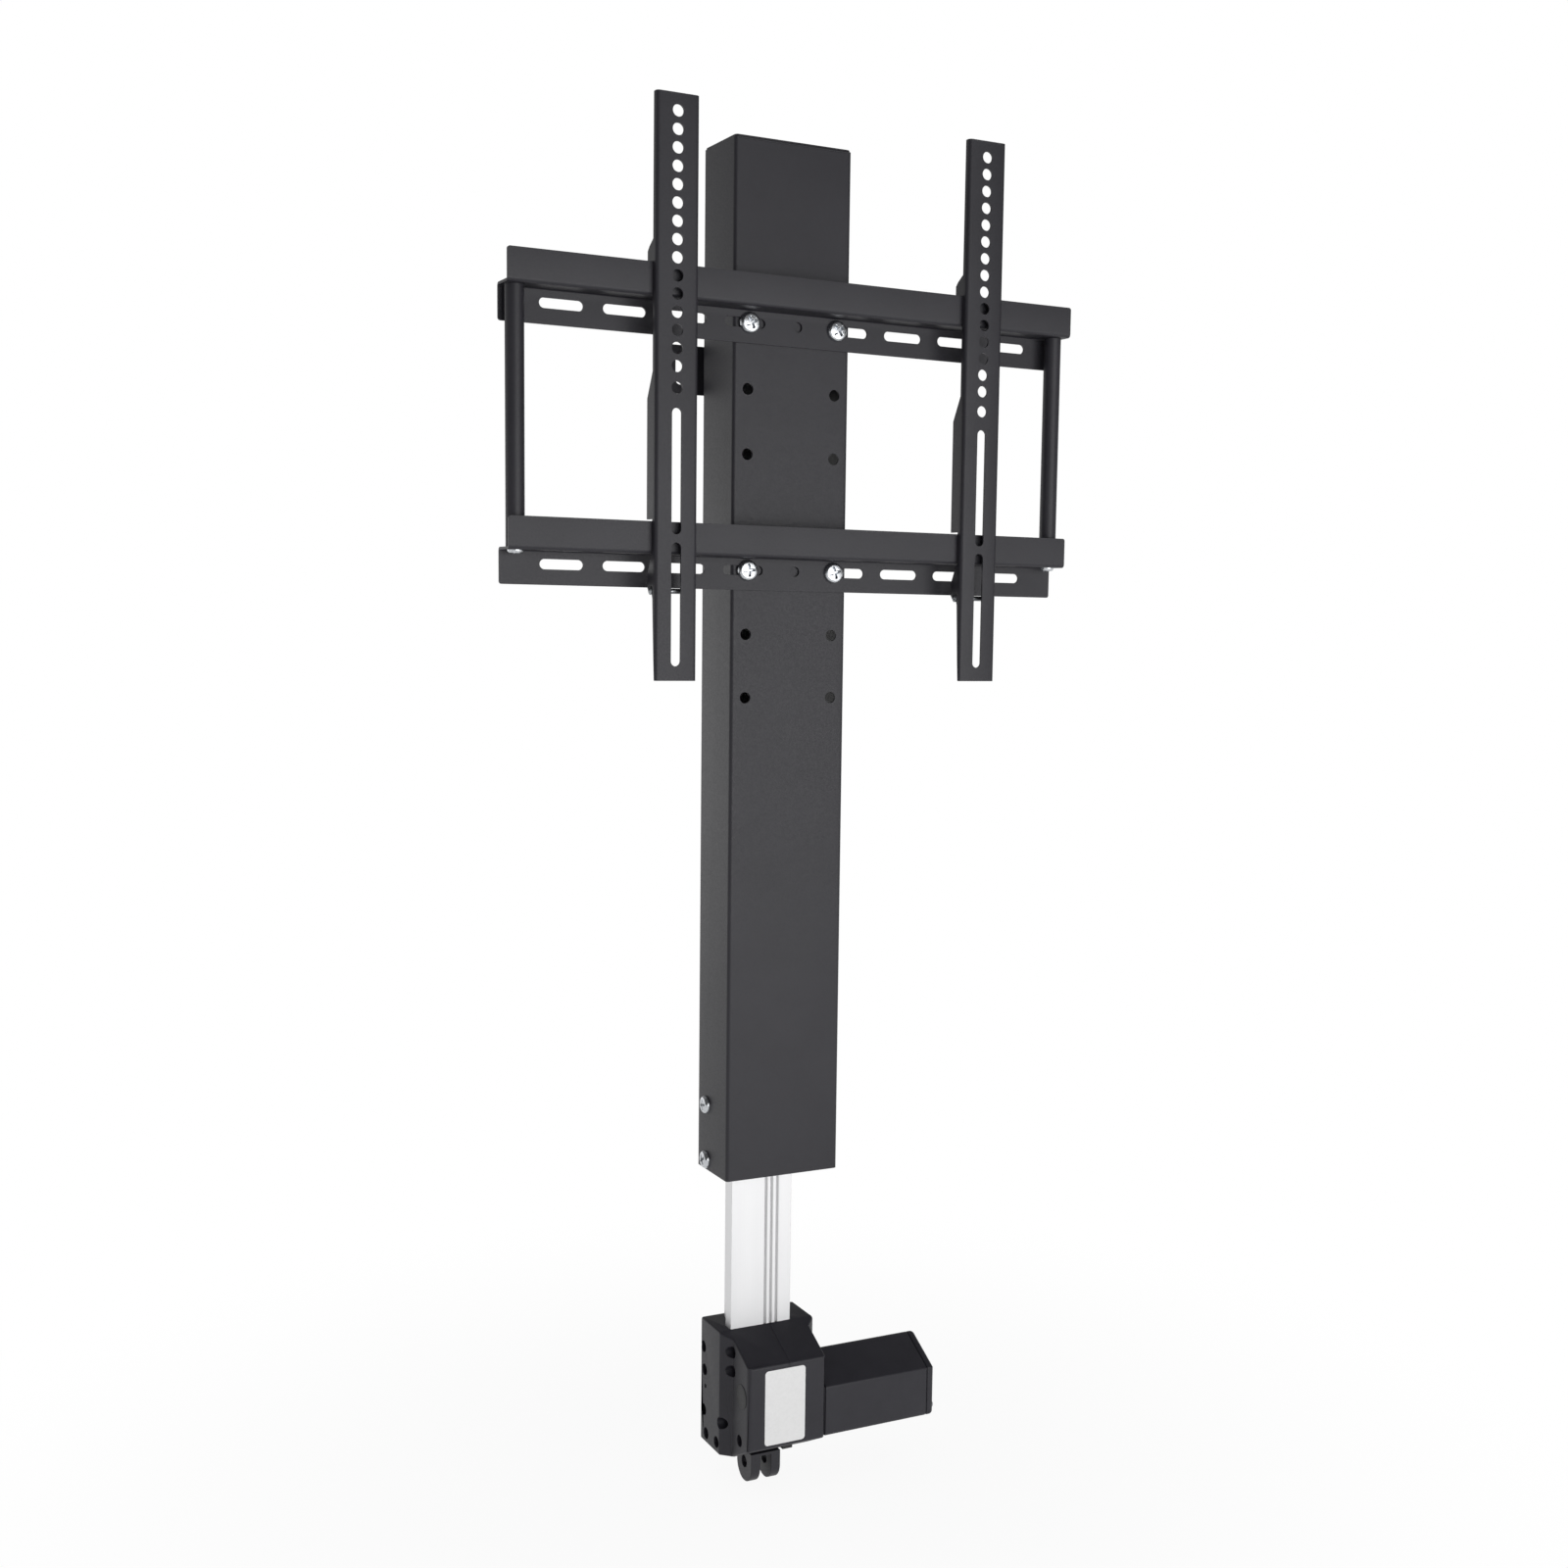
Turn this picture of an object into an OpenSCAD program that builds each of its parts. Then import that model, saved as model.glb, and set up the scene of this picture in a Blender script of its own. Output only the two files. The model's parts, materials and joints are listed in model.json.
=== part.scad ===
// Electric column lift for a flat display. Millimetres, +Z up, +X along the cross rails, -Y to the front.
// The origin is the centre of the foot clevis's bore.

/* [Column] */
// Width of the moving column
column_w = 100; // [94:1:120]
// Depth of the moving column
column_d = 61; // [54:1:70]
// Length of the folded column without its cap
column_h = 820.5; // [780:0.5:900]
// Sheet thickness of the column
column_wall = 2; // [1.5:0.5:3]
// Width of the folded lips along the column's open back
column_lip = 12; // [8:1:12]
// Thickness of the column's cap above the sheet
cap_t = 3; // [3:0.5:8]
// Height of the column's foot above the gearbox in the pose that is drawn
rest_lift = 141; // [20:1:400]
// Spacing of the column's hole pairs across its width
hole_span = 75; // [70:1:76]
// Height of the upper bolt row above the column's foot
bolt_row_h = 682.5; // [670:0.5:690]
// Pitch of the column's hole rows
hole_pitch = 50; // [40:1:52]
// Radius of the column's bolt holes
hole_r = 4.5; // [4.2:0.1:4.8]

/* [Cross rails] */
// Length of each cross rail
rail_len = 480; // [440:5:700]
// Sheet thickness of the cross rails
rail_t = 2; // [1.5:0.5:3]
// Depth of the cross rails from front to back
rail_depth = 25.25; // [22:0.25:30]
// Height of the upright front flange above the web's underside
rail_front_h = 24.4; // [20:0.1:28]
// Height of the rear flange below the web's underside
rail_rear_h = 25; // [22:0.5:26]
// Sideways offset of the cross rails from the column's centre
rail_shift = 3.5; // [-6:0.5:6]
// Distance between the upper and lower cross rails
rail_spacing = 190; // [180:1:260]
// Length of the adjusting slots in the rear flanges
rail_slot_len = 34; // [28:1:40]
// Width of the adjusting slots in the rear flanges
rail_slot_w = 7.6; // [7.4:0.1:10]
// Distance of the innermost slots' middle from the rail's middle
rail_first_slot = 44.7; // [40:0.1:50]
// Pitch of the adjusting slots
rail_slot_pitch = 49.2; // [44:0.1:54]
// Diameter of the upright side tubes
tube_d = 14; // [10:0.5:15]
// Distance of each side tube from the end of its rail
tube_inset = 9; // [8:0.5:20]

/* [Arms] */
// Length of each arm
arm_len = 431; // [425:1:470]
// Width of each arm
arm_w = 34; // [30:1:40]
// Sheet thickness of the arms
arm_t = 2; // [1.5:0.5:3]
// Height of each arm above the upper cross rail
arm_above = 121.5; // [118:0.5:140]
// Clear space between the arm's front web and the cross rail
arm_standoff = 4.75; // [4:0.25:8]
// Radius of the arm's round holes
arm_hole_r = 4.5; // [4:0.1:5]
// Distance of the first arm hole below the arm's top
arm_hole_first = 12.6; // [10:0.1:14]
// Pitch of the arm's round holes
arm_hole_pitch = 13.15; // [12.5:0.05:13.2]
// Distance between the first and the last round hole
arm_hole_span = 200; // [199:0.5:201]
// Place of the left arm's centre along the cross rails
left_arm_x = -109.3; // [-190:0.1:-70]
// Place of the right arm's centre along the cross rails
right_arm_x = 155.8; // [70:0.1:200]

/* [Guide rail] */
// Width of the aluminium guide rail
guide_w = 55; // [52:1:56]
// Depth of the guide rail's wide front part
guide_front_d = 11; // [10:0.5:12]
// Depth of the whole guide rail
guide_d = 31; // [30:0.5:32]
// Width of the guide rail's narrow rear channel
guide_channel_w = 40; // [38:1:42]
// Wall of the guide rail
guide_wall = 3; // [2.5:0.25:3.5]
// Height of the guide rail's top above the gearbox
guide_top = 813.5; // [780:0.5:860]
// Depth of the guide rail's foot inside the gearbox
guide_foot = 20; // [14:1:22]

/* [Spindle] */
// Radius over the spindle's thread
spindle_r = 7; // [6:0.25:7.5]
// Radius of the spindle's lower journal
journal_low_r = 4; // [3.5:0.25:4.5]
// Radius of the spindle's upper gearbox journal
journal_mid_r = 5; // [4.5:0.25:5.5]
// Radial running clearance of a shaft in its bush
run_gap = 0.05; // [0.02:0.01:0.1]
// Clear space between the guide rail and the pads that slide on it
slide_gap = 0.3; // [0.2:0.05:0.6]

/* [Gearbox] */
// Height of the gearbox
gear_h = 108; // [104:0.5:112]
// Depth of the gearbox from the wall side to its front face
gear_d = 82.2; // [80:0.2:90]
// Width of the gearbox's rear block
gear_w = 86.5; // [80:0.5:90]
// Wall of the gearbox shells
gear_wall = 3; // [2.5:0.25:3.5]
// Teeth on the worm wheel
wheel_teeth = 20; // [20:1:20]
// Module of the worm gear
gear_module = 1.4; // [1.4:0.1:1.4]
// Pitch radius of the worm
worm_pitch_r = 5; // [5:0.1:5]
// Width of the worm wheel
wheel_w = 8; // [6:1:9]

/* [Motor] */
// Length of the motor housing without its end cap
motor_len = 97.5; // [93:0.5:130]
// Thickness of the motor housing's end cap
motor_cap_t = 7.5; // [5:0.5:9]
// Wall of the motor housing
motor_wall = 2.5; // [2:0.25:2.5]
// Radius of the round motor can
can_r = 22.6; // [20:0.2:22.6]
// Radius of the motor shaft
shaft_r = 3; // [2.5:0.25:3]

/* [Foot clevis and wall plate] */
// Radius of the clevis's bore
clevis_bore_r = 5.1; // [4.1:0.1:6.1]
// Outer radius of the clevis's ears
clevis_r = 15; // [13:0.5:16]
// Thickness of each clevis ear
clevis_ear = 8.5; // [6:0.5:10]
// Gap between the clevis's ears
clevis_gap = 10; // [8:0.5:12]
// Distance from the clevis's bore to the gearbox's underside
clevis_drop = 11; // [10.5:0.5:20]
// Distance of the ears' round ends below the clevis's bore
clevis_low = 2; // [0:0.5:3]
// Width of the wall plate
plate_w = 160; // [140:2:200]
// Height of the wall plate
plate_h = 38.5; // [34:0.5:44]
// Thickness of the wall plate
plate_t = 3; // [2.5:0.5:4]

/* [Hidden] */
$fn = 64;
eps = 0.01;

// Heights and depths that the pieces share
gear_z0 = clevis_drop;
gear_z1 = gear_z0 + gear_h;
column_z0 = gear_z1 + rest_lift;
column_z1 = column_z0 + column_h;
column_y0 = -41;
column_y1 = column_y0 + column_d;
guide_y0 = -1;
guide_y1 = guide_y0 + guide_d;
guide_step_y = guide_y0 + guide_front_d;
guide_z0 = gear_z1 - guide_foot;
guide_z1 = gear_z1 + guide_top;
guide_slot_w = 14;
wall_y = 41;
spindle_y = 15;

// Cross rails: each hangs its slots this far below its front flange's top
slot_drop = 34;
upper_slot_z = column_z0 + bolt_row_h;
lower_slot_z = upper_slot_z - rail_spacing;
upper_rail_z = upper_slot_z + slot_drop;
lower_rail_z = lower_slot_z + slot_drop;
rail_y1 = column_y0;
rail_y0 = rail_y1 - rail_depth;
rail_slot_places = [-4, -3, -2, -1, 1, 2, 3, 4];
first_slot_shift = rail_first_slot - rail_slot_pitch;
tube_front_gap = 4.2;
tube_y = rail_y0 + rail_t + tube_front_gap + tube_d / 2;
tube_z0 = lower_rail_z - rail_front_h + rail_t;
tube_z1 = upper_rail_z - rail_front_h;
tube_hole_r = 2.6;

// Column holes: bolt rows for the rails and plain rows in pairs under each of them
plain_rows = [upper_slot_z - hole_pitch, upper_slot_z - 2 * hole_pitch,
              lower_slot_z - hole_pitch, lower_slot_z - 2 * hole_pitch];
bolt_rows = [upper_slot_z, lower_slot_z];
hole_places = [-hole_span / 2, hole_span / 2];
bolt_r = 3.5;
bolt_head_r = 8.4;
bolt_head_t = 4.6;
nut_flat = 13;
nut_t = 6.5;

// Arms
arm_y0 = rail_y0 - arm_standoff - arm_t;
arm_top = upper_rail_z + arm_above;
arm_bottom = arm_top - arm_len;
hook_gap = 0.3;
arm_slot_r = 3.9;
arm_slots = [[227.4, 320.9], [327, 420]];
arm_hole_count = floor(arm_hole_span / arm_hole_pitch + 0.05);
hook_y = rail_y0 + 10.75;
hook_step_top = 79.5;
hook_step_low = 99;
lock_drop = 27.5;
lock_z = lower_rail_z - rail_front_h - lock_drop;
lock_y = rail_y0 + 2.25;
lock_r = 2;

// Slider inside the column's foot
slider_z0 = column_z0 + 2;
slider_h = 72;
slider_z1 = slider_z0 + slider_h;
slider_fit = 0.3;
pad_t = 2.5;
leg_x1 = column_w / 2 - column_lip - 0.5;
leg_x0 = guide_w / 2 + 1;
lip_x0 = guide_channel_w / 2 + 0.6;
carrier_y0 = guide_y1 + 1;
carrier_t = 5.5;
side_screw_z = [column_z0 + 54.8, column_z0 + 8.4];
side_screw_y = 1.5;
side_head_r = 7.5;

// Worm gear
wheel_pitch_r = gear_module * wheel_teeth / 2;
wheel_tip_r = wheel_pitch_r + 1.3;
wheel_root_r = wheel_pitch_r - 1.8;
worm_y = spindle_y - wheel_pitch_r - worm_pitch_r;
worm_z = 57;
worm_lead = PI * gear_module;
worm_core_r = worm_pitch_r - 1.6;
worm_tip_r = worm_pitch_r + 1.3;
worm_turns = 4.5;
wheel_z0 = worm_z - wheel_w / 2;

// Gearbox: a rear block round the spindle and a narrower front block round the worm, joined by slanted faces
gear_x0 = -38;
gear_x1 = gear_x0 + gear_w;
gear_y1 = 39;
rear_y0 = guide_y0 - 1.5;
front_x0 = gear_x0 + 8.5;
front_x1 = gear_x1 - 7;
front_y0 = gear_y1 - gear_d;
front_z0 = gear_z0 + 16.5;
front_slope_z = gear_z1 - 20.4;
underside_y = rear_y0 - (front_x0 - gear_x0);
front_corner = 4;
split_x = 8;
room_z0 = gear_z0 + 14.5;
room_z1 = gear_z1 - 44;
low_bearing_r = 8;
low_bearing_z = gear_z0 + 4.5;
low_bearing_h = 5;
mid_bearing_r = 13;
mid_bearing_z = gear_z1 - 39;
mid_bearing_h = 8;
spigot_r = 9;
spigot_h = 3;

// Screws through the gearbox: depth, height above the underside, face that the head's seat is measured from
side_holes = [[32.2, 83.6, gear_x0], [29.6, 64, gear_x0], [30.9, 28, gear_x0], [25.6, 8.6, gear_x0],
              [3.4, 9.3, gear_x0], [-3.2, 28.4, gear_x0], [-10.8, 91.7, front_x0], [-10.8, 75.3, front_x0],
              [-25.5, 20.1, front_x0]];
side_hole_r = 4.9;
side_hole_deep = 12;
side_screw_r = 1.6;
side_screw_head_r = 3.6;
pin_hole = [27.6, 50];
plug_at = [-29.1, 70.9];
plug_r = 10.4;

// Rating label and power socket
label_x0 = -14.4;
label_x1 = 22.5;
label_z0 = front_z0 + 2.5;
label_z1 = front_slope_z - 4;
label_t = 0.3;
socket_x0 = split_x;
socket_w = 9;
socket_y0 = -31.2;
socket_d = 8.2;
socket_z0 = 18.5;
socket_h = 10.5;
socket_wall = 1.6;

// Motor
motor_x0 = front_x1 + 0.8;
motor_x1 = motor_x0 + motor_len;
motor_x2 = motor_x1 + motor_cap_t;
motor_y0 = front_y0 + 0.6;
motor_y1 = 33;
motor_z0 = front_z0;
motor_z1 = 71;
motor_ridge = [-4.8, 91];
motor_end_wall = 4;
can_x0 = gear_x1 + motor_end_wall + 1;
can_x1 = motor_x1 - 2.5;
can_wall = 1.6;
armature_r = 15.8;
magnet_gap = 1;
brush_room = 18;
nose_room = 16;
armature_x0 = can_x0 + nose_room;
armature_x1 = can_x1 - brush_room;

// Shapes that repeat

function unit(v) = v / norm(v);

// Points of a rounded corner p between its neighbours a and b
function round_corner(a, p, b, r) = r == 0 ? [p] :
  let (u = unit(a - p), v = unit(b - p), half = acos(u * v) / 2,
       centre = p + unit(u + v) * r / sin(half),
       first = p + u * r / tan(half) - centre, last = p + v * r / tan(half) - centre,
       start = atan2(first[1], first[0]), turn = (atan2(last[1], last[0]) - start + 540) % 360 - 180,
       steps = max(1, ceil(abs(turn) / 18 - 0.01)))
  [for (i = [0 : steps]) let (a = start + turn * i / steps) centre + r * [cos(a), sin(a)]];

// Corner points with a radius each, as one closed outline
function rounded(corners, radii) = let (n = len(corners))
  [for (i = [0 : n - 1]) each round_corner(corners[(i + n - 1) % n], corners[i], corners[(i + 1) % n], radii[i])];

// A rectangle with round corners, drawn with true arcs
module rounded_rect(x0, y0, x1, y1, r) {
  translate([x0 + r, y0]) square([x1 - x0 - 2 * r, y1 - y0]);
  translate([x0, y0 + r]) square([x1 - x0, y1 - y0 - 2 * r]);
  for (x = [x0 + r, x1 - r], y = [y0 + r, y1 - r]) translate([x, y]) circle(r);
}

// A slot with round ends along the first axis, centred on the origin
module slot_shape(length, width) {
  square([length - width, width], center = true);
  for (s = [-1, 1]) translate([s * (length - width) / 2, 0]) circle(d = width);
}

// Bores and shafts along one axis, starting at a point
module rod_x(x0, x1, y, z, r) {
  translate([x0, y, z]) rotate([0, 90, 0]) cylinder(h = x1 - x0, r = r);
}

module rod_y(x, y0, y1, z, r) {
  translate([x, y1, z]) rotate([90, 0, 0]) cylinder(h = y1 - y0, r = r);
}

module rod_z(x, y, z0, z1, r) {
  translate([x, y, z0]) cylinder(h = z1 - z0, r = r);
}

// A block given by its two corners
module block(low, high) {
  translate(low) cube(high - low);
}

// An outline in Y and Z, carried along X
module extrude_x(x0, x1) {
  translate([x0, 0, 0]) rotate([90, 0, 90]) linear_extrude(height = x1 - x0) children();
}

// An outline in X and Z, carried along Y
module extrude_y(y0, y1) {
  translate([0, y1, 0]) rotate([90, 0, 0]) linear_extrude(height = y1 - y0) children();
}

// A cross recess, cut downwards from the top of a head at the origin
module cross_recess(size, deep) {
  for (a = [0, 90]) rotate([0, 0, a])
    translate([-size / 2, -size / 8, -deep]) cube([size, size / 4, deep + 1]);
}

// A pan-head screw along Z: the head stands on z = 0 and the shank hangs below it
module pan_screw(head_r, head_t, shank_r, shank_len) {
  difference() {
    rotate_extrude()
      intersection() {
        translate([0, head_t - head_r * 1.6]) circle(head_r * 1.6);
        square([head_r, head_t]);
      }
    translate([0, 0, head_t]) cross_recess(head_r * 1.1, head_t * 0.6);
  }
  translate([0, 0, -shank_len]) cylinder(h = shank_len, r = shank_r);
}

// Column group

module column_outline() {
  wall = column_wall;
  difference() {
    rounded_rect(-column_w / 2, column_y0, column_w / 2, column_y1, wall + 1);
    rounded_rect(-column_w / 2 + wall, column_y0 + wall, column_w / 2 - wall, column_y1 - wall, 1);
    translate([-column_w / 2 + column_lip, column_y1 - wall - eps])
      square([column_w - 2 * column_lip, wall + 2 * eps]);
  }
}

module column() color("#3d3d40") {
  difference() {
    translate([0, 0, column_z0]) linear_extrude(height = column_h) column_outline();
    for (x = hole_places, z = concat(plain_rows, bolt_rows))
      rod_y(x, column_y0 - 1, column_y0 + column_wall + 1, z, hole_r);
    for (z = side_screw_z) {
      rod_x(-column_w / 2 - 1, -column_w / 2 + column_wall + 1, side_screw_y, z, bolt_r);
      rod_x(column_w / 2 - column_wall - 1, column_w / 2 + 1, side_screw_y, z, bolt_r);
    }
  }
}

module column_cap() color("#3a3a3d") {
  edge = 1.5;
  skirt_h = 8;
  inner = column_wall + slider_fit;
  translate([0, 0, column_z1]) {
    linear_extrude(height = cap_t - edge)
      rounded_rect(-column_w / 2, column_y0, column_w / 2, column_y1, column_wall + 1);
    translate([0, 0, cap_t - edge]) linear_extrude(height = edge)
      rounded_rect(-column_w / 2 + edge / 2, column_y0 + edge / 2, column_w / 2 - edge / 2,
                   column_y1 - edge / 2, column_wall + 1);
    for (s = [-1, 1])
      translate([s * (column_w / 2 - inner - 1), column_y0 + 20, -skirt_h / 2])
        cube([2, 24, skirt_h], center = true);
    translate([0, column_y0 + inner + 1, -skirt_h / 2]) cube([column_w - 20, 2, skirt_h], center = true);
  }
}

// Outline of a cross rail in Y and Z, with z = 0 at the front flange's top
module rail_section() {
  web_z = -rail_front_h;
  inner = 1;
  outer = inner + rail_t;
  polygon(rounded([
    [rail_y0, 0], [rail_y0, web_z], [rail_y1 - rail_t, web_z], [rail_y1 - rail_t, web_z - rail_rear_h],
    [rail_y1, web_z - rail_rear_h], [rail_y1, web_z + rail_t], [rail_y0 + rail_t, web_z + rail_t],
    [rail_y0 + rail_t, 0]
  ], [0, outer, inner, 0, 0, outer, inner, 0]));
}

module cross_rail(top_z) {
  corner = 2;
  half = rail_len / 2;
  bottom = top_z - rail_front_h - rail_rear_h;
  tube_x = half - tube_inset;
  color("#404043") difference() {
    intersection() {
      translate([0, 0, top_z]) extrude_x(rail_shift - half, rail_shift + half) rail_section();
      extrude_y(rail_y0 - 1, rail_y1 + 1)
        rounded_rect(rail_shift - half, bottom, rail_shift + half, top_z, corner);
    }
    for (i = rail_slot_places)
      translate([rail_shift + i * rail_slot_pitch + sign(i) * first_slot_shift, rail_y1 + 1, top_z - slot_drop])
        rotate([90, 0, 0]) linear_extrude(height = rail_t + 2) slot_shape(rail_slot_len, rail_slot_w);
    rod_y(rail_shift, rail_y1 - rail_t - 1, rail_y1 + 1, top_z - slot_drop, 4);
    for (s = [-1, 1])
      rod_z(rail_shift + s * tube_x, tube_y, top_z - rail_front_h - 1, top_z - rail_front_h + rail_t + 1,
            tube_hole_r);
  }
}

module upper_rail() cross_rail(upper_rail_z);
module lower_rail() cross_rail(lower_rail_z);

module side_tube(side) {
  x = rail_shift + side * (rail_len / 2 - tube_inset);
  color("#37373a") difference() {
    rod_z(x, tube_y, tube_z0, tube_z1, tube_d / 2);
    rod_z(x, tube_y, tube_z0 - 1, tube_z0 + 22, tube_hole_r - 0.2);
    rod_z(x, tube_y, tube_z1 - 22, tube_z1 + 1, tube_hole_r - 0.2);
  }
}

module left_side_tube() side_tube(-1);
module right_side_tube() side_tube(1);

module tube_screws() color("#b9bbbd")
  for (s = [-1, 1]) translate([rail_shift + s * (rail_len / 2 - tube_inset), tube_y, 0]) {
    translate([0, 0, tube_z1 + rail_t]) pan_screw(6, 3, tube_hole_r - 0.25, 16 + rail_t);
    translate([0, 0, tube_z0 - rail_t]) rotate([180, 0, 0]) pan_screw(6, 3, tube_hole_r - 0.25, 16 + rail_t);
  }

module rail_bolts() color("#d8dadc")
  for (x = hole_places, z = bolt_rows)
    translate([x, rail_y1 - rail_t, z]) rotate([90, 0, 0])
      pan_screw(bolt_head_r, bolt_head_t, bolt_r, rail_t + column_wall + nut_t + 2);

module rail_nuts() color("#c4c6c8")
  for (x = hole_places, z = bolt_rows)
    translate([x, column_y0 + column_wall + nut_t, z]) rotate([90, 0, 0]) difference() {
      union() {
        cylinder(h = nut_t, d = nut_flat / cos(30), $fn = 6);
        translate([0, 0, nut_t - 1.4]) cylinder(h = 1.4, r = bolt_head_r);
      }
      translate([0, 0, -1]) cylinder(h = nut_t + 2, r = bolt_r);
    }

// Slider and nut

module slider_outline() {
  x1 = column_w / 2 - column_wall - slider_fit;
  y0 = column_y0 + column_wall + nut_t + 3;
  y_lip = column_y1 - column_wall - slider_fit;
  bay_x = guide_w / 2 + slide_gap + pad_t;
  bay_y = guide_y0 - slide_gap - pad_t;
  rear_y = guide_step_y + slide_gap + pad_t;
  difference() {
    union() {
      translate([-x1, y0]) square([2 * x1, y_lip - y0]);
      for (s = [-1, 1])
        translate([s * (leg_x0 + leg_x1) / 2, (y_lip + carrier_y0) / 2 - eps])
          square([leg_x1 - leg_x0, carrier_y0 - y_lip + 2 * eps], center = true);
      for (s = [-1, 1]) translate([s * (lip_x0 + leg_x0 + 1) / 2, rear_y + 1.6])
        square([leg_x0 + 1 - lip_x0, 3.2], center = true);
    }
    translate([-bay_x, bay_y]) square([2 * bay_x, rear_y - bay_y]);
    translate([-lip_x0, rear_y - eps]) square([2 * lip_x0, 60]);
  }
}

module slider_block() color("#2c2c2e") difference() {
  translate([0, 0, slider_z0]) linear_extrude(height = slider_h) slider_outline();
  for (z = side_screw_z) if (z > slider_z0 && z < slider_z1) for (s = [-1, 1])
    rod_x(s < 0 ? -column_w / 2 : column_w / 2 - 16, s < 0 ? -column_w / 2 + 16 : column_w / 2,
          side_screw_y, z, bolt_r - 0.2);
}

module glide_pads() color("#dcdcd6")
  for (s = [-1, 1], z = [slider_z0 + 4, slider_z1 - 24]) {
    near_x = guide_w / 2 + slide_gap;
    far_x = near_x + pad_t;
    block([min(s * near_x, s * far_x), guide_y0 + 1, z],
          [max(s * near_x, s * far_x), guide_step_y - 1, z + 20]);
    block([s * 18 - 7, guide_y0 - slide_gap - pad_t, z], [s * 18 + 7, guide_y0 - slide_gap, z + 20]);
    block([s * (guide_w / 2 - 3) - 2.5, guide_step_y + slide_gap, z],
          [s * (guide_w / 2 - 3) + 2.5, guide_step_y + slide_gap + pad_t, z + 20]);
  }

module nut_carrier() color("#2f3033") difference() {
  block([-leg_x1, carrier_y0, slider_z0 + 6], [leg_x1, carrier_y0 + carrier_t, slider_z1 - 6]);
  for (x = [-leg_x1 + 4, -2, 2, leg_x1 - 4]) if (abs(x) > 3)
    for (z = [slider_z0 + 16, slider_z1 - 16])
      rod_y(x, carrier_y0 - 1, carrier_y0 + carrier_t + 1, z, 2.2);
}

module carrier_screws() color("#c4c6c8")
  for (s = [-1, 1], z = [slider_z0 + 16, slider_z1 - 16])
    translate([s * (leg_x1 - 4), carrier_y0 + carrier_t, z]) rotate([-90, 0, 0])
      pan_screw(3.8, 2.2, 2.2, carrier_t);

module drive_nut() color("#e6e4dc") {
  gap = 0.6;
  x1 = guide_channel_w / 2 - guide_wall - gap - 1;
  z0 = slider_z0 + 16;
  z1 = slider_z1 - 16;
  difference() {
    union() {
      block([-x1, spindle_y - 9, z0], [x1, guide_y1 - guide_wall - gap, z1]);
      block([-guide_slot_w / 2 + gap, spindle_y, z0], [guide_slot_w / 2 - gap, carrier_y0, z1]);
    }
    rod_z(0, spindle_y, z0 - 1, z1 + 1, spindle_r + run_gap);
  }
}

module slider_screws() color("#d8dadc")
  for (z = side_screw_z, s = [-1, 1])
    translate([s * column_w / 2, side_screw_y, z]) rotate([0, s * 90, 0])
      pan_screw(side_head_r, 4, bolt_r - 0.2, 14);

// Arms

// Outline of an arm's side flange in Y and Z
module arm_side_outline() {
  free_y = rail_y0 - hook_gap;
  hook_z0 = upper_rail_z - rail_front_h + rail_t + 0.6;
  hook_z1 = upper_rail_z + 11.5;
  low_web = lower_rail_z - rail_front_h - hook_gap;
  polygon([
    [arm_y0, arm_top], [free_y - 0.4, arm_top],
    [free_y, hook_z1 + 5], [hook_y - 3, hook_z1], [hook_y, hook_z1 - 3], [hook_y, hook_z0],
    [rail_y0 + rail_t + hook_gap, hook_z0], [rail_y0 + rail_t + hook_gap, upper_rail_z + hook_gap],
    [free_y, upper_rail_z + hook_gap],
    [free_y, upper_rail_z - hook_step_top], [hook_y, upper_rail_z - hook_step_low],
    [hook_y, lower_rail_z + 1.5], [free_y, lower_rail_z + 1.5],
    [free_y, low_web], [rail_y0 + 0.9, low_web], [rail_y0 + 8.9, low_web - 15],
    [rail_y0 + 8.9, lock_z + 2], [rail_y0 + 5, lock_z - 2.5], [rail_y0, lock_z - 3],
    [rail_y0 - 1.2, lock_z - 5.5], [arm_y0 + arm_t + 0.2, arm_bottom + 2], [arm_y0 + arm_t, arm_bottom],
    [arm_y0, arm_bottom]
  ]);
}

// Folded section of an arm in X and Y, with round bends
module arm_section(x) {
  half = arm_w / 2;
  back = hook_y + 1;
  inner = 1;
  outer = inner + arm_t;
  polygon(rounded([
    [x - half, back], [x - half, arm_y0], [x + half, arm_y0], [x + half, back], [x + half - arm_t, back],
    [x + half - arm_t, arm_y0 + arm_t], [x - half + arm_t, arm_y0 + arm_t], [x - half + arm_t, back]
  ], [0, outer, outer, 0, 0, inner, inner, 0]));
}

module arm(x) color("#3f3f42") difference() {
  intersection() {
    translate([0, 0, arm_bottom]) linear_extrude(height = arm_len) arm_section(x);
    extrude_x(x - arm_w / 2 - 1, x + arm_w / 2 + 1) arm_side_outline();
  }
  for (i = [0 : arm_hole_count - 1]) if (i * arm_hole_pitch < arm_hole_span - arm_hole_pitch / 2)
    rod_y(x, arm_y0 - 1, arm_y0 + arm_t + 1, arm_top - arm_hole_first - i * arm_hole_pitch, arm_hole_r);
  rod_y(x, arm_y0 - 1, arm_y0 + arm_t + 1, arm_top - arm_hole_first - arm_hole_span, arm_hole_r);
  for (ends = arm_slots)
    translate([x, arm_y0 + arm_t + 1, arm_top - (ends[0] + ends[1]) / 2]) rotate([90, 90, 0])
      linear_extrude(height = arm_t + 2) slot_shape(ends[1] - ends[0], 2 * arm_slot_r);
  rod_x(x - arm_w / 2 - 1, x + arm_w / 2 + 1, lock_y, lock_z, lock_r);
}

module left_arm() arm(left_arm_x);
module right_arm() arm(right_arm_x);

module lock_screw(x) color("#77797c")
  translate([x - arm_w / 2, lock_y, lock_z]) rotate([0, -90, 0]) pan_screw(3.2, 1.6, lock_r, arm_w + 1.5);

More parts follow.
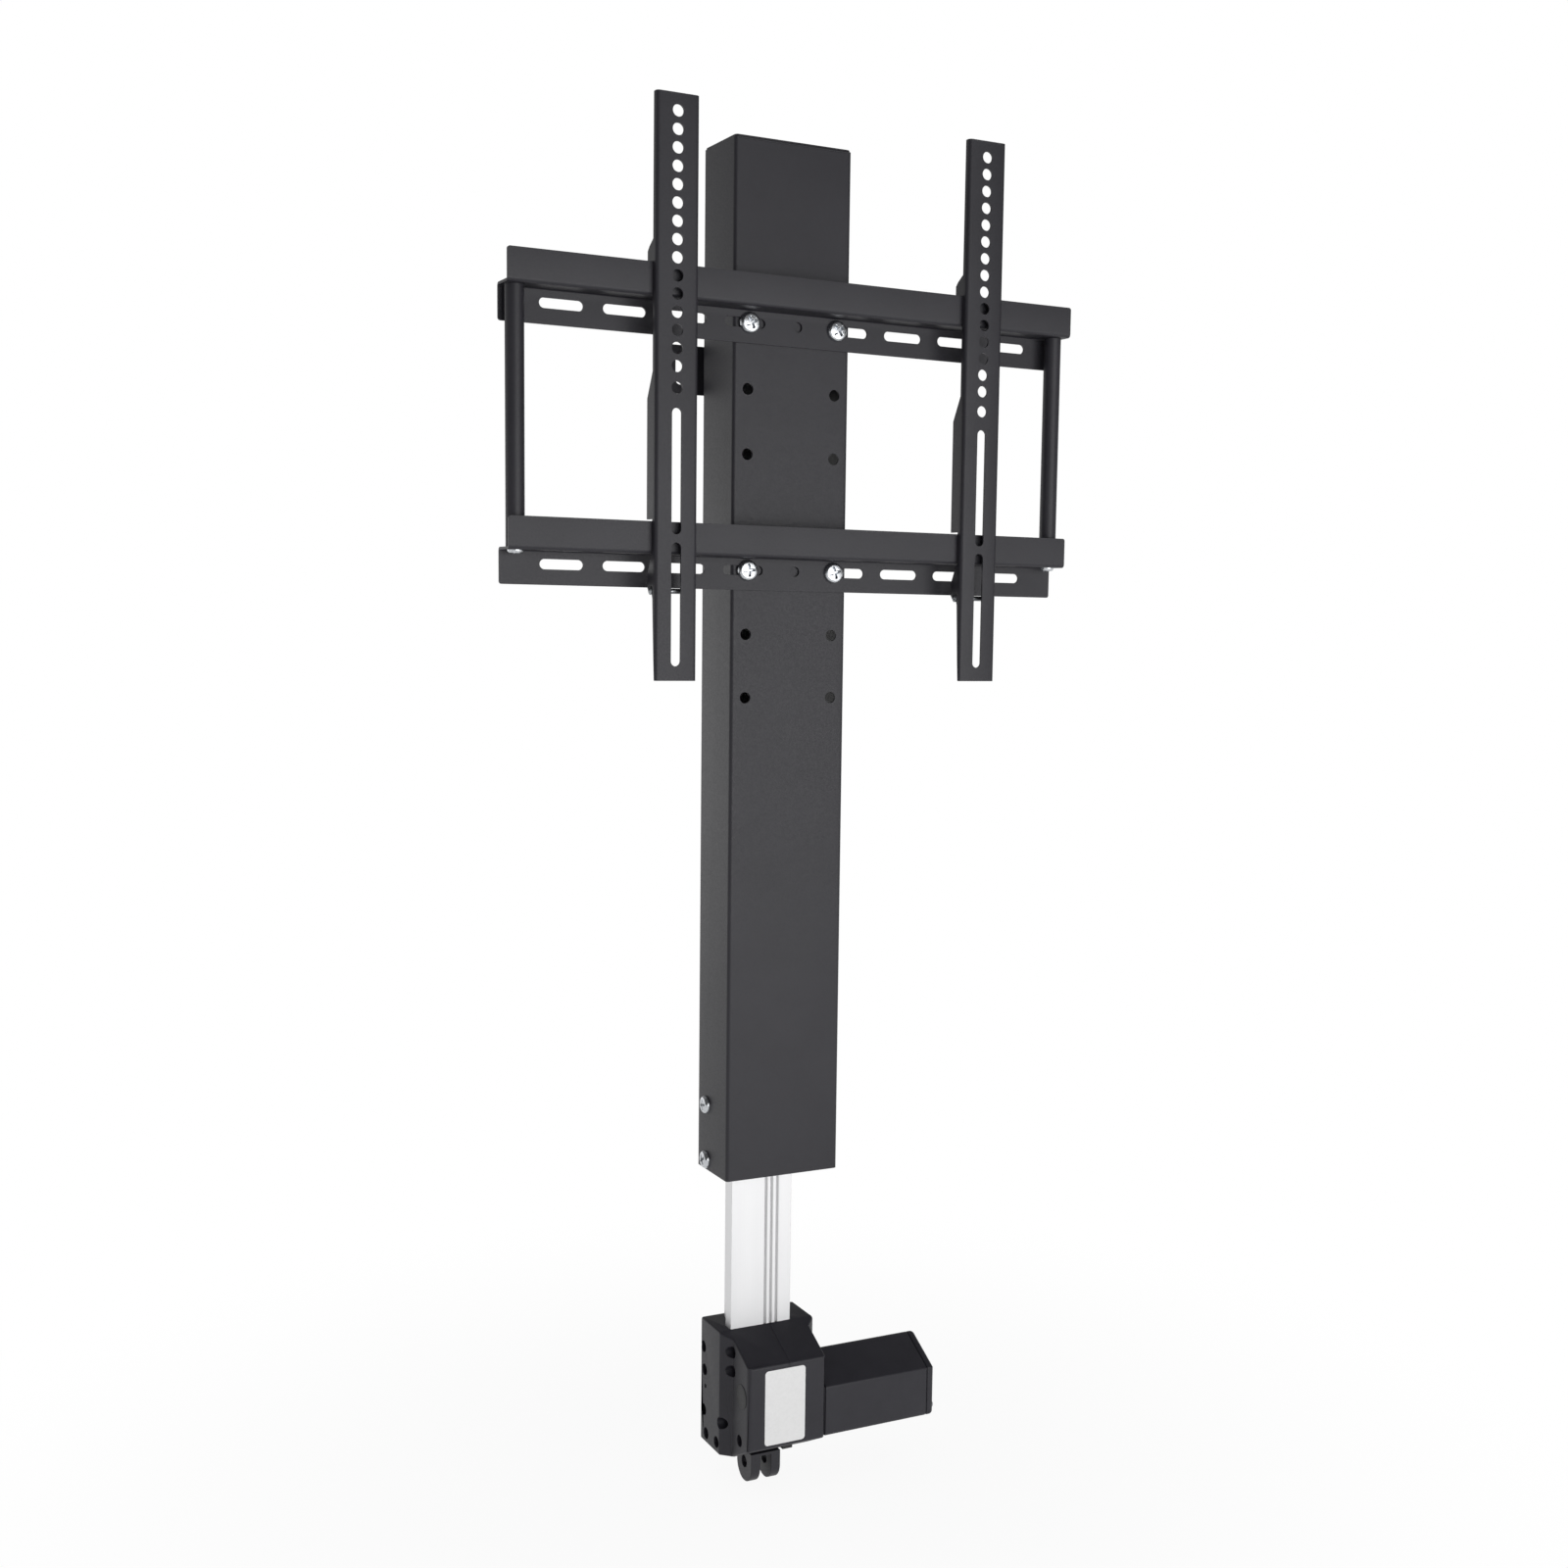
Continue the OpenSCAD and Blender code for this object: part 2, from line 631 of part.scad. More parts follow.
module left_lock_screw() lock_screw(left_arm_x);
module right_lock_screw() lock_screw(right_arm_x);

// Guide rail and wall plate

module guide_section() {
  groove = 1.3;
  w = guide_wall;
  difference() {
    union() {
      translate([-guide_w / 2, guide_y0]) square([guide_w, guide_front_d]);
      translate([-guide_channel_w / 2, guide_step_y - eps])
        square([guide_channel_w, guide_y1 - guide_step_y + eps]);
    }
    translate([-guide_channel_w / 2 + w, guide_y0 + w]) square([guide_channel_w - 2 * w, guide_d - 2 * w]);
    translate([-guide_slot_w / 2, guide_y1 - w - 1]) square([guide_slot_w, w + 2]);
    for (s = [-1, 1]) translate([s * (guide_w + guide_channel_w) / 4 - 1.6, guide_y0 + w])
      square([3.2, guide_front_d - 2 * w]);
    for (x = [4.1, 9.3, 14.5])
      translate([x, guide_y0]) rotate([0, 0, 45]) square(groove * sqrt(2), center = true);
  }
}

module guide_rail() color("#dfe0e1")
  translate([0, 0, guide_z0]) linear_extrude(height = guide_z1 - guide_z0) guide_section();

module rail_end_cap() color("#262628") difference() {
  union() {
    translate([0, 0, guide_z1]) linear_extrude(height = 2.5) union() {
      rounded_rect(-guide_w / 2, guide_y0, guide_w / 2, guide_step_y, 1);
      rounded_rect(-guide_channel_w / 2, guide_y0, guide_channel_w / 2, guide_y1, 1);
    }
    block([-guide_channel_w / 2 + guide_wall + 0.1, guide_y0 + guide_wall + 0.1, guide_z1 - 14],
          [guide_channel_w / 2 - guide_wall - 0.1, guide_y1 - guide_wall - 0.1, guide_z1 + eps]);
  }
  rod_z(0, spindle_y, guide_z1 - 15, guide_z1 + 0.5, journal_low_r + run_gap);
}

module wall_bracket() color("#38383b") {
  plate_z0 = guide_z1 - plate_h;
  slot_x = plate_w / 2 - 18;
  saddle_t = 3;
  difference() {
    extrude_y(wall_y - plate_t, wall_y)
      rounded_rect(-plate_w / 2, plate_z0, plate_w / 2, guide_z1, 3);
    for (s = [-1, 1])
      translate([s * slot_x, wall_y + 1, plate_z0 + plate_h / 2]) rotate([90, 90, 0])
        linear_extrude(height = plate_t + 2) slot_shape(24, 8);
  }
  mid_z = plate_z0 + plate_h / 2;
  saddle_y0 = guide_step_y + 8;
  saddle_y1 = wall_y - plate_t;
  for (s = [-1, 1]) difference() {
    saddle_x = s * (guide_channel_w + saddle_t) / 2;
    translate([saddle_x, (saddle_y0 + saddle_y1) / 2, mid_z])
      cube([saddle_t, saddle_y1 - saddle_y0, plate_h], center = true);
    rod_x(saddle_x - saddle_t, saddle_x + saddle_t, 24, mid_z, 2.1);
  }
  block([-guide_channel_w / 2, guide_y1, plate_z0], [guide_channel_w / 2, guide_y1 + saddle_t, guide_z1]);
  block([-guide_channel_w / 2 - saddle_t, wall_y - plate_t - saddle_t, plate_z0],
        [guide_channel_w / 2 + saddle_t, wall_y - plate_t + eps, guide_z1]);
}

module bracket_screws() color("#c4c6c8")
  for (s = [-1, 1])
    translate([s * (guide_channel_w / 2 + 3), 24, guide_z1 - plate_h / 2]) rotate([0, s * 90, 0])
      pan_screw(3.8, 2.2, 2.1, 3);

module limit_switch_strip() color("#2c5a3c")
  block([guide_channel_w / 2, 19.5, gear_z1 + 4], [guide_channel_w / 2 + 1.6, 27.5, guide_z1 - plate_h - 4]);

module limit_switches() color("#1f1f21")
  for (z = [gear_z1 + 10, guide_z1 - plate_h - 30])
    block([guide_channel_w / 2 + 1.6, 20, z], [guide_channel_w / 2 + 6.4, 27, z + 18]);

// Gearbox

// Plan of the gearbox: the rear block and, past two slanted faces, the front block
module gearbox_plan()
  polygon(rounded([
    [gear_x0, rear_y0], [front_x0, underside_y], [front_x0, front_y0], [front_x1, front_y0],
    [front_x1, rear_y0 - (gear_x1 - front_x1)], [gear_x1, rear_y0], [gear_x1, gear_y1], [gear_x0, gear_y1]
  ], [1.5, 0, front_corner, 3, 0, 1.5, 3, 3]));

// Side outline of the gearbox in Y and Z: top and underside slant towards the front face
module gearbox_side()
  polygon(rounded([
    [underside_y, gear_z0], [front_y0, front_z0], [front_y0, front_slope_z], [guide_y0, gear_z1],
    [gear_y1, gear_z1], [gear_y1, gear_z0]
  ], [4, 3, 3, 0, 2.5, 2.5]));

module gearbox_solid() intersection() {
  translate([0, 0, gear_z0]) linear_extrude(height = gear_h) gearbox_plan();
  extrude_x(gear_x0 - 1, gear_x1 + 1) gearbox_side();
}

// Rooms for the worm wheel and the worm
module gearbox_rooms() {
  w = gear_wall;
  under_slope = (front_z0 - gear_z0) / (underside_y - front_y0);
  front_low_z = front_z0 + w * (sqrt(1 + under_slope * under_slope) - under_slope);
  low_turn_y = front_y0 + w + max(0, front_low_z - room_z0) / under_slope;
  front_top_z = room_z1 + 12;
  block([gear_x0 + w, rear_y0 + w, room_z0], [gear_x1 - w, gear_y1 - w, room_z1]);
  extrude_x(front_x0 + w, front_x1 - w)
    polygon([
      [rear_y0 + w + eps, room_z0], [low_turn_y, room_z0], [front_y0 + w, front_low_z],
      [front_y0 + w, front_top_z], [rear_y0 + w + eps, front_top_z]
    ]);
}

// Where a side screw ends, short of the right face
function screw_end(h) = (h[0] < rear_y0 ? front_x1 : gear_x1) - 6;

module gearbox_half_cut() {
  difference() {
    gearbox_solid();
    difference() {
      gearbox_rooms();
      rod_x(front_x0, front_x0 + 13, worm_y, worm_z, 9);
      for (h = side_holes)
        rod_x(h[2], h[2] + side_hole_deep + 3, h[0], gear_z0 + h[1], side_hole_r + 1.5);
      for (h = side_holes)
        rod_x(h[2], screw_end(h) + 6, h[0], gear_z0 + h[1], side_screw_r + 2);
    }
    // Seats of the two bearings, the spindle's way between them and the clevis's spigot
    rod_z(0, spindle_y, gear_z0 - 1, gear_z0 + spigot_h, spigot_r);
    rod_z(0, spindle_y, gear_z0, room_z0 + 1, journal_low_r + 2);
    rod_z(0, spindle_y, low_bearing_z, low_bearing_z + low_bearing_h, low_bearing_r);
    rod_z(0, spindle_y, room_z1 - 1, gear_z1 - guide_foot + 1, spindle_r + 2);
    rod_z(0, spindle_y, mid_bearing_z, mid_bearing_z + mid_bearing_h, mid_bearing_r);
    // Pocket of the guide rail's foot
    translate([0, 0, guide_z0]) linear_extrude(height = guide_foot + 1) {
      translate([-guide_w / 2, guide_y0]) square([guide_w, guide_front_d]);
      translate([-guide_channel_w / 2, guide_y0]) square([guide_channel_w, guide_d]);
    }
    // Worm's way, its tail seat and the motor's nose
    rod_x(front_x0 + 13 - eps, gear_x1 + 1, worm_y, worm_z, worm_tip_r + 1.7);
    rod_x(front_x0 + 4, front_x0 + 13, worm_y, worm_z, 5.5);
    // Screw heads and screws
    for (h = side_holes) {
      rod_x(gear_x0 - 1, h[2] + side_hole_deep, h[0], gear_z0 + h[1], side_hole_r);
      rod_x(h[2], screw_end(h), h[0], gear_z0 + h[1], side_screw_r);
    }
    rod_x(gear_x0 - 1, gear_x0 + gear_wall + 1, pin_hole[0], gear_z0 + pin_hole[1], 1.75);
    rod_x(front_x0 - 1, front_x0 + 1.2, plug_at[0], plug_at[1], plug_r - 2);
    block([socket_x0, socket_y0, gear_z0 - 1],
          [socket_x0 + socket_w, socket_y0 + socket_d, socket_z0 + socket_h]);
  }
}

module gearbox_left_half() color("#39393c") intersection() {
  gearbox_half_cut();
  block([gear_x0 - 1, front_y0 - 1, gear_z0 - 1], [split_x, gear_y1 + 1, gear_z1 + 1]);
}

module gearbox_right_half() color("#39393c") intersection() {
  gearbox_half_cut();
  block([split_x, front_y0 - 1, gear_z0 - 1], [gear_x1 + 1, gear_y1 + 1, gear_z1 + 1]);
}

module gearbox_screws() color("#8d9093")
  for (h = side_holes)
    translate([h[2] + side_hole_deep, h[0], gear_z0 + h[1]]) rotate([0, -90, 0])
      pan_screw(side_screw_head_r, 2.4, side_screw_r, screw_end(h) - 2 - h[2] - side_hole_deep);

module gearbox_plug() color("#3a3a3d") {
  crown = 40;
  intersection() {
    translate([front_x0 - 1 + crown, plug_at[0], plug_at[1]]) sphere(crown, $fn = 128);
    rod_x(front_x0 - 1.5, front_x0, plug_at[0], plug_at[1], 4);
  }
  rod_x(front_x0 - 0.5, front_x0, plug_at[0], plug_at[1], plug_r);
  rod_x(front_x0, front_x0 + 1.2, plug_at[0], plug_at[1], plug_r - 2);
}

module rating_label() color("#f2f2f2")
  extrude_y(front_y0 - label_t, front_y0) rounded_rect(label_x0, label_z0, label_x1, label_z1, 3);

module power_socket() color("#19191b") difference() {
  w = socket_wall;
  block([socket_x0, socket_y0, socket_z0],
        [socket_x0 + socket_w, socket_y0 + socket_d, socket_z0 + socket_h]);
  block([socket_x0 + w, socket_y0 + w, socket_z0 - 1],
        [socket_x0 + socket_w - w, socket_y0 + socket_d - w, socket_z0 + socket_h - w]);
}

module foot_clevis() color("#333336") {
  half = clevis_gap / 2 + clevis_ear;
  base_t = 2.5;
  difference() {
    union() {
      extrude_x(-half, half) union() {
        translate([0, -clevis_low]) circle(clevis_r);
        translate([-clevis_r, -clevis_low]) square([2 * clevis_r, clevis_drop + clevis_low]);
      }
    }
    block([-clevis_gap / 2, -clevis_r - 1, -clevis_r - clevis_low - 1],
          [clevis_gap / 2, clevis_r + 1, clevis_drop - base_t]);
    rod_x(-half - 1, half + 1, 0, 0, clevis_bore_r);
    block([-half - 1, -clevis_r - 1, clevis_drop - eps], [half + 1, clevis_r + 1, clevis_drop + 5]);
  }
  intersection() {
    rod_z(0, spindle_y, clevis_drop - eps, clevis_drop + spigot_h, spigot_r);
    block([-half, -clevis_r, clevis_drop - 1], [half, spindle_y + spigot_r + 1, clevis_drop + spigot_h]);
  }
}

module lower_bearing() color("#b4b7ba") difference() {
  rod_z(0, spindle_y, low_bearing_z, low_bearing_z + low_bearing_h, low_bearing_r);
  rod_z(0, spindle_y, low_bearing_z - 1, low_bearing_z + low_bearing_h + 1, journal_low_r + run_gap);
}

module upper_bearing() color("#b4b7ba") difference() {
  rod_z(0, spindle_y, mid_bearing_z, mid_bearing_z + mid_bearing_h, mid_bearing_r);
  rod_z(0, spindle_y, mid_bearing_z - 1, mid_bearing_z + mid_bearing_h + 1, journal_mid_r + run_gap);
}

module worm_tail_bush() color("#b08d57") difference() {
  rod_x(front_x0 + 5, front_x0 + 12.5, worm_y, worm_z, 5.5);
  rod_x(front_x0 + 4, front_x0 + 14, worm_y, worm_z, shaft_r + run_gap);
}

// Motor

// Outline of the motor housing in Y and Z, drawn smaller by an inset
module motor_outline(inset) {
  run = motor_ridge[0] - motor_y0;
  slope = (motor_ridge[1] - motor_z1) / run;
  drop = inset * sqrt(1 + slope * slope);
  polygon(rounded([
    [motor_y0 + inset, motor_z0 + inset], [motor_y1 - inset, motor_z0 + inset],
    [motor_y1 - inset, motor_z1 - drop + slope * inset], [motor_ridge[0], motor_ridge[1] - drop],
    [motor_y0 + inset, motor_z1 - drop + slope * inset]
  ], [for (r = [3, 3, 2.4, 5, 2.4]) max(0.6, r - inset)]));
}

module motor_housing() color("#39393c") difference() {
  union() {
    extrude_x(motor_x0, motor_x1) motor_outline(0);
    extrude_x(front_x1, motor_x0 + eps) motor_outline(1.5);
  }
  // Way past the gearbox's rear block
  block([front_x1 - 1, rear_y0 - (gear_x1 - front_x1) - 0.8, motor_z0 - 1],
        [gear_x1 + 0.5, motor_y1 + 1, motor_ridge[1] + 1]);
  extrude_x(gear_x1 + motor_end_wall, motor_x1 + 1) motor_outline(motor_wall);
  rod_x(front_x1 - 1, gear_x1 + motor_end_wall + 1, worm_y, worm_z, 8);
}

module motor_end_cap() color("#353538") difference() {
  union() {
    extrude_x(motor_x1 + 0.8, motor_x2 - 3) motor_outline(0);
    extrude_x(motor_x1, motor_x1 + 0.8 + eps) motor_outline(1);
    extrude_x(motor_x2 - 3 - eps, motor_x2 - 1.2) motor_outline(0.9);
    extrude_x(motor_x2 - 1.2 - eps, motor_x2) motor_outline(2.4);
  }
  for (y = [motor_y0 + 7, motor_y1 - 7]) rod_x(motor_x1 - 1, motor_x2 + 1, y, motor_z0 + 7, 2);
}

module end_cap_screws() color("#8d9093")
  for (y = [motor_y0 + 7, motor_y1 - 7])
    translate([motor_x2, y, motor_z0 + 7]) rotate([0, 90, 0]) pan_screw(3.6, 2, 2, motor_cap_t);

module motor_can() color("#8b8e91") difference() {
  union() {
    rod_x(can_x0, can_x1, worm_y, worm_z, can_r);
    rod_x(front_x1 - 3, can_x0 + eps, worm_y, worm_z, 7.9);
  }
  rod_x(can_x0 + can_wall, can_x1 + 1, worm_y, worm_z, can_r - can_wall);
  rod_x(front_x1 - 4, can_x0 + can_wall + 1, worm_y, worm_z, shaft_r + 2);
}

module motor_rear_plate() color("#2b2b2d") difference() {
  rod_x(can_x1 - 5, can_x1, worm_y, worm_z, can_r - can_wall);
  rod_x(can_x1 - 6, can_x1 + 1, worm_y, worm_z, shaft_r + 2);
}

module motor_magnets() color("#4a4a4c") difference() {
  rod_x(armature_x0 - 2, armature_x1 + 2, worm_y, worm_z, can_r - can_wall);
  rod_x(armature_x0 - 3, armature_x1 + 3, worm_y, worm_z, armature_r + magnet_gap);
  for (a = [0, 90]) translate([(armature_x0 + armature_x1) / 2, worm_y, worm_z]) rotate([a, 0, 0])
    cube([armature_x1 - armature_x0 + 10, a == 0 ? 14 : 0.02, 3 * can_r], center = true);
}

module motor_bushes() color("#b08d57")
  for (x = [[front_x1 - 2, front_x1 + 6], [can_x1 - 5, can_x1]]) difference() {
    rod_x(x[0], x[1], worm_y, worm_z, shaft_r + 2);
    rod_x(x[0] - 1, x[1] + 1, worm_y, worm_z, shaft_r + run_gap);
  }

// Turning pieces

module spindle() color("#9da0a3") {
  thread_z0 = guide_z0 + 3;
  rod_z(0, spindle_y, gear_z0 + 4.2, wheel_z0 - 2, journal_low_r);
  rod_z(0, spindle_y, wheel_z0 - 2, mid_bearing_z - 2, journal_mid_r + 1);
  rod_z(0, spindle_y, mid_bearing_z - 2, thread_z0 - 6, journal_mid_r);
  rod_z(0, spindle_y, thread_z0 - 6, guide_z1 - 16, spindle_r);
  rod_z(0, spindle_y, guide_z1 - 16, guide_z1 + 0.2, journal_low_r);
}

module spindle_collar() color("#7d8083") difference() {
  rod_z(0, spindle_y, low_bearing_z + low_bearing_h + 0.2, wheel_z0 - 2, journal_low_r + 1.8);
  rod_z(0, spindle_y, low_bearing_z + low_bearing_h, wheel_z0 - 1, journal_low_r);
}

// One tooth of the wheel, its middle along the first axis
function tooth_points(mid) = [
  for (p = [[wheel_root_r, -1.3], [wheel_pitch_r, -0.95], [wheel_tip_r, -0.55],
            [wheel_tip_r, 0.55], [wheel_pitch_r, 0.95], [wheel_root_r, 1.3]])
    let (a = mid + asin(p[1] / p[0])) p[0] * [cos(a), sin(a)]
];

module worm_wheel() color("#c9b27a") difference() {
  lean = wheel_w * worm_lead / (2 * PI * worm_pitch_r) / wheel_pitch_r * 180 / PI;
  first = -90 + 180 / wheel_teeth;
  translate([0, spindle_y, worm_z]) rotate([0, 0, -lean / 2])
    linear_extrude(height = wheel_w, center = true, twist = -lean, slices = 4)
      polygon([for (i = [0 : wheel_teeth - 1]) each tooth_points(first + i * 360 / wheel_teeth)]);
  rod_z(0, spindle_y, wheel_z0 - 1, wheel_z0 + wheel_w + 1, journal_mid_r + 1);
}

module motor_shaft() color("#a3a6a9") rod_x(12.2, can_x1 + 1, worm_y, worm_z, shaft_r);

module armature() color("#6f3f2a") difference() {
  union() {
    rod_x(armature_x0 + 4, armature_x1 - 4, worm_y, worm_z, armature_r);
    rod_x(armature_x0, armature_x1, worm_y, worm_z, armature_r - 3);
  }
  for (a = [0 : 45 : 315]) translate([0, worm_y, worm_z]) rotate([a, 0, 0])
    translate([armature_x0 - 1, -1, armature_r - 2.5]) cube([armature_x1 - armature_x0 + 2, 2, 4]);
  rod_x(armature_x0 - 1, armature_x1 + 1, worm_y, worm_z, shaft_r);
}

module commutator() color("#b3724a") difference() {
  rod_x(armature_x1 + 0.5, armature_x1 + 11, worm_y, worm_z, 7);
  rod_x(armature_x1, armature_x1 + 12, worm_y, worm_z, shaft_r);
}

// Helical ridge of the worm along X, as one closed strip of four-sided rings
module worm_ridge() {
  per_turn = 24;
  rings = per_turn * worm_turns;
  ring_points = [
    for (i = [0 : rings])
      let (a = 360 * i / per_turn, x = worm_lead * (i / per_turn - worm_turns / 2))
      for (p = [[worm_core_r - 0.3, -1.15], [worm_tip_r, -0.35], [worm_tip_r, 0.35], [worm_core_r - 0.3, 1.15]])
        [x + p[1], p[0] * cos(a), p[0] * sin(a)]
  ];
  sides = [
    for (i = [0 : rings - 1], k = [0 : 3])
      let (a = 4 * i + k, b = 4 * i + (k + 1) % 4)
      each [[b, a + 4, a], [b + 4, a + 4, b]]
  ];
  last = 4 * rings;
  polyhedron(ring_points, concat([[2, 1, 0], [3, 2, 0]], sides,
                                 [[last + 1, last + 2, last], [last + 2, last + 3, last]]));
}

module worm() color("#8f9295") {
  half = worm_lead * worm_turns / 2 + 1.6;
  turn = -180 * worm_turns;
  translate([0, worm_y, worm_z]) rotate([turn, 0, 0]) worm_ridge();
  rod_x(-half, half, worm_y, worm_z, worm_core_r);
  rod_x(front_x0 + 4.5, -half + eps, worm_y, worm_z, shaft_r);
  difference() {
    rod_x(half - eps, half + 9, worm_y, worm_z, 5);
    rod_x(12.2, half + 10, worm_y, worm_z, shaft_r);
  }
}

column();
column_cap();
upper_rail();
lower_rail();
left_side_tube();
right_side_tube();
tube_screws();
rail_bolts();
rail_nuts();
slider_block();
glide_pads();
nut_carrier();
carrier_screws();
drive_nut();
slider_screws();
left_arm();
left_lock_screw();
right_arm();
right_lock_screw();
guide_rail();
rail_end_cap();
wall_bracket();
bracket_screws();
limit_switch_strip();
limit_switches();
gearbox_left_half();
gearbox_right_half();
gearbox_screws();
gearbox_plug();
rating_label();
power_socket();
foot_clevis();
lower_bearing();
upper_bearing();
worm_tail_bush();
motor_housing();
motor_end_cap();
end_cap_screws();
motor_can();
motor_rear_plate();
motor_magnets();
motor_bushes();
spindle();
spindle_collar();
worm_wheel();
motor_shaft();
armature();
commutator();
worm();
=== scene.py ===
import json
import math

import bmesh
import bpy
import numpy as np
from mathutils import Matrix, Vector


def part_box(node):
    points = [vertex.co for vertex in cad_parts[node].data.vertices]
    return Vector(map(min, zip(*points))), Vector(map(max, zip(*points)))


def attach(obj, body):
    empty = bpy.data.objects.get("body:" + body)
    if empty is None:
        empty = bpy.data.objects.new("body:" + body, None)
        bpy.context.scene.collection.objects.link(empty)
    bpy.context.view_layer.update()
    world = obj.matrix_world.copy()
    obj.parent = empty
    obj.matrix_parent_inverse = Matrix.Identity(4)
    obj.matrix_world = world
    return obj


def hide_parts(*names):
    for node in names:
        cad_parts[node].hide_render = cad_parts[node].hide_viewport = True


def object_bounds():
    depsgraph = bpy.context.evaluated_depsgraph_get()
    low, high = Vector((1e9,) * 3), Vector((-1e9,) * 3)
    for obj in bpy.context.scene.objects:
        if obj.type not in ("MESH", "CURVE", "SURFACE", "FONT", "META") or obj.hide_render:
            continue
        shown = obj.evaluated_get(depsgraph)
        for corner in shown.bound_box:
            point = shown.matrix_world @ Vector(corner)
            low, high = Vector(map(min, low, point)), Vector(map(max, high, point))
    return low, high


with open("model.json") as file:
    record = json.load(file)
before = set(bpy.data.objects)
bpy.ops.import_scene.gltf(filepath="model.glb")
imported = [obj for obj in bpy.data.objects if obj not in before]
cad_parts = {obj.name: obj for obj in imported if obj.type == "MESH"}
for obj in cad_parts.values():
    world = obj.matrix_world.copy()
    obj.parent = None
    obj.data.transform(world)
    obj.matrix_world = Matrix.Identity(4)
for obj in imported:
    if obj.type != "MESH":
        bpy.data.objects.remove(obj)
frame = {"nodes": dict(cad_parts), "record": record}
cad_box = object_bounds()
mm = 0.001

# The guide rail is one aluminium extrusion, sawn to length and satin anodised.
# It stands in the gearbox and carries the whole slider; faint die lines run up its faces.

# A Mix node's sockets when it mixes colours, and the range that most of a noise lies in
mix_factor, mix_first, mix_second, mix_result = 0, 6, 7, 2
noise_low, noise_high = 0.3, 0.7

# An edge that turns by more than the sharp turn is rounded, and one under the flat turn is dissolved
sharp_turn = math.radians(28)
flat_turn = math.radians(0.4)
corner_gap = 2e-6


def linear(code):
    """A six-digit sRGB hex colour as linear red, green, blue and alpha."""
    parts = np.array([int(code[i:i + 2], 16) for i in (1, 3, 5)]) / 255
    curved = np.where(parts <= 0.04045, parts / 12.92, ((parts + 0.055) / 1.055) ** 2.4)
    return (*curved.tolist(), 1.0)


def add_node(tree, kind, settings, links=None):
    """Adds a shader node, sets its inputs or properties by name and links its inputs to other outputs."""
    node = tree.nodes.new(kind)
    for name, value in settings.items():
        if isinstance(name, int) or name in node.inputs:
            node.inputs[name].default_value = value
        else:
            setattr(node, name, value)
    for name, source in (links or {}).items():
        tree.links.new(source, node.inputs[name])
    return node


def start_material(name):
    """An empty node material; returns it with its tree and its Object coordinates."""
    material = bpy.data.materials.new(name)
    material.use_nodes = True
    tree = material.node_tree
    tree.nodes.clear()
    place = add_node(tree, "ShaderNodeTexCoord", {}).outputs["Object"]
    return material, tree, place


def close_material(tree, settings, links):
    """Ends a tree with one Principled surface."""
    surface = add_node(tree, "ShaderNodeBsdfPrincipled", settings, links)
    add_node(tree, "ShaderNodeOutputMaterial", {}, {"Surface": surface.outputs["BSDF"]})


def grain(tree, place, size, detail, stretch=(1, 1, 1)):
    """Noise whose cells are about size metres across, drawn out along an axis by stretch."""
    scaled = add_node(tree, "ShaderNodeMapping", {"Scale": tuple(1 / (size * pull) for pull in stretch)},
                      {"Vector": place})
    return add_node(tree, "ShaderNodeTexNoise", {"Scale": 1.0, "Detail": detail, "Roughness": 0.55},
                    {"Vector": scaled.outputs["Vector"]}).outputs["Fac"]


def spread(tree, value, low, high):
    """Carries a noise value from its usual range to low..high."""
    return add_node(tree, "ShaderNodeMapRange",
                    {"From Min": noise_low, "From Max": noise_high, "To Min": low, "To Max": high},
                    {"Value": value}).outputs["Result"]


def tint(tree, value, low, high):
    """A colour between two sRGB hex colours, led by a noise value."""
    mix = add_node(tree, "ShaderNodeMix",
                   {"data_type": "RGBA", mix_first: linear(low), mix_second: linear(high)},
                   {mix_factor: spread(tree, value, 0, 1)})
    return mix.outputs[mix_result]


def relief(tree, height, depth, strength):
    """Bump of a height pattern, depth metres deep."""
    return add_node(tree, "ShaderNodeBump", {"Strength": strength, "Distance": depth},
                    {"Height": height}).outputs["Normal"]


def anodised_aluminium():
    """Etched and satin anodised: bright and drawn along the extrusion, with painted shade that darkens its
    colour deep in its grooves.
    """
    material, tree, place = start_material("satin_anodised_aluminium")
    lines = grain(tree, place, 0.6 * mm, 3.0, (1, 1, 400))
    haze = grain(tree, place, 35 * mm, 2.0, (1, 1, 6))
    # Painted shade: ambient occlusion mixes the colour toward a dark grey deep in the grooves and corners,
    # where shade falls.
    open_to_light = add_node(tree, "ShaderNodeAmbientOcclusion",
                             {"Distance": 2 * mm, "samples": 8, "only_local": True})
    painted_groove_shade = add_node(tree, "ShaderNodeMix", {"data_type": "RGBA", mix_first: linear("#606063")},
                     {mix_factor: open_to_light.outputs["AO"],
                      mix_second: tint(tree, haze, "#E6E6E7", "#ECECED")})
    close_material(tree, {"Metallic": 1.0},
                   {"Base Color": painted_groove_shade.outputs[mix_result],
                    "Roughness": spread(tree, lines, 0.46, 0.56),
                    "Normal": relief(tree, lines, 0.02 * mm, 0.35)})
    return material


def coat(data, material):
    """Makes a finish the only one of a mesh."""
    data.materials.clear()
    data.materials.append(material)


def add_object(name, data):
    """A new object that holds a mesh, a lamp or a camera, put in the scene."""
    thing = bpy.data.objects.new(name, data)
    bpy.context.scene.collection.objects.link(thing)
    return thing


def body_of(node):
    """The name of the body that a node rides on."""
    bodies = frame["record"]["behaviour"]["bodies"]
    return next(body for body, members in bodies.items() if node in members)


def link_piece(name, data, node, material):
    """Puts a finished mesh in the scene, on the body of the CAD node that it stands for."""
    coat(data, material)
    piece = add_object(name, data)
    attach(piece, body_of(node))
    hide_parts(node)
    return piece


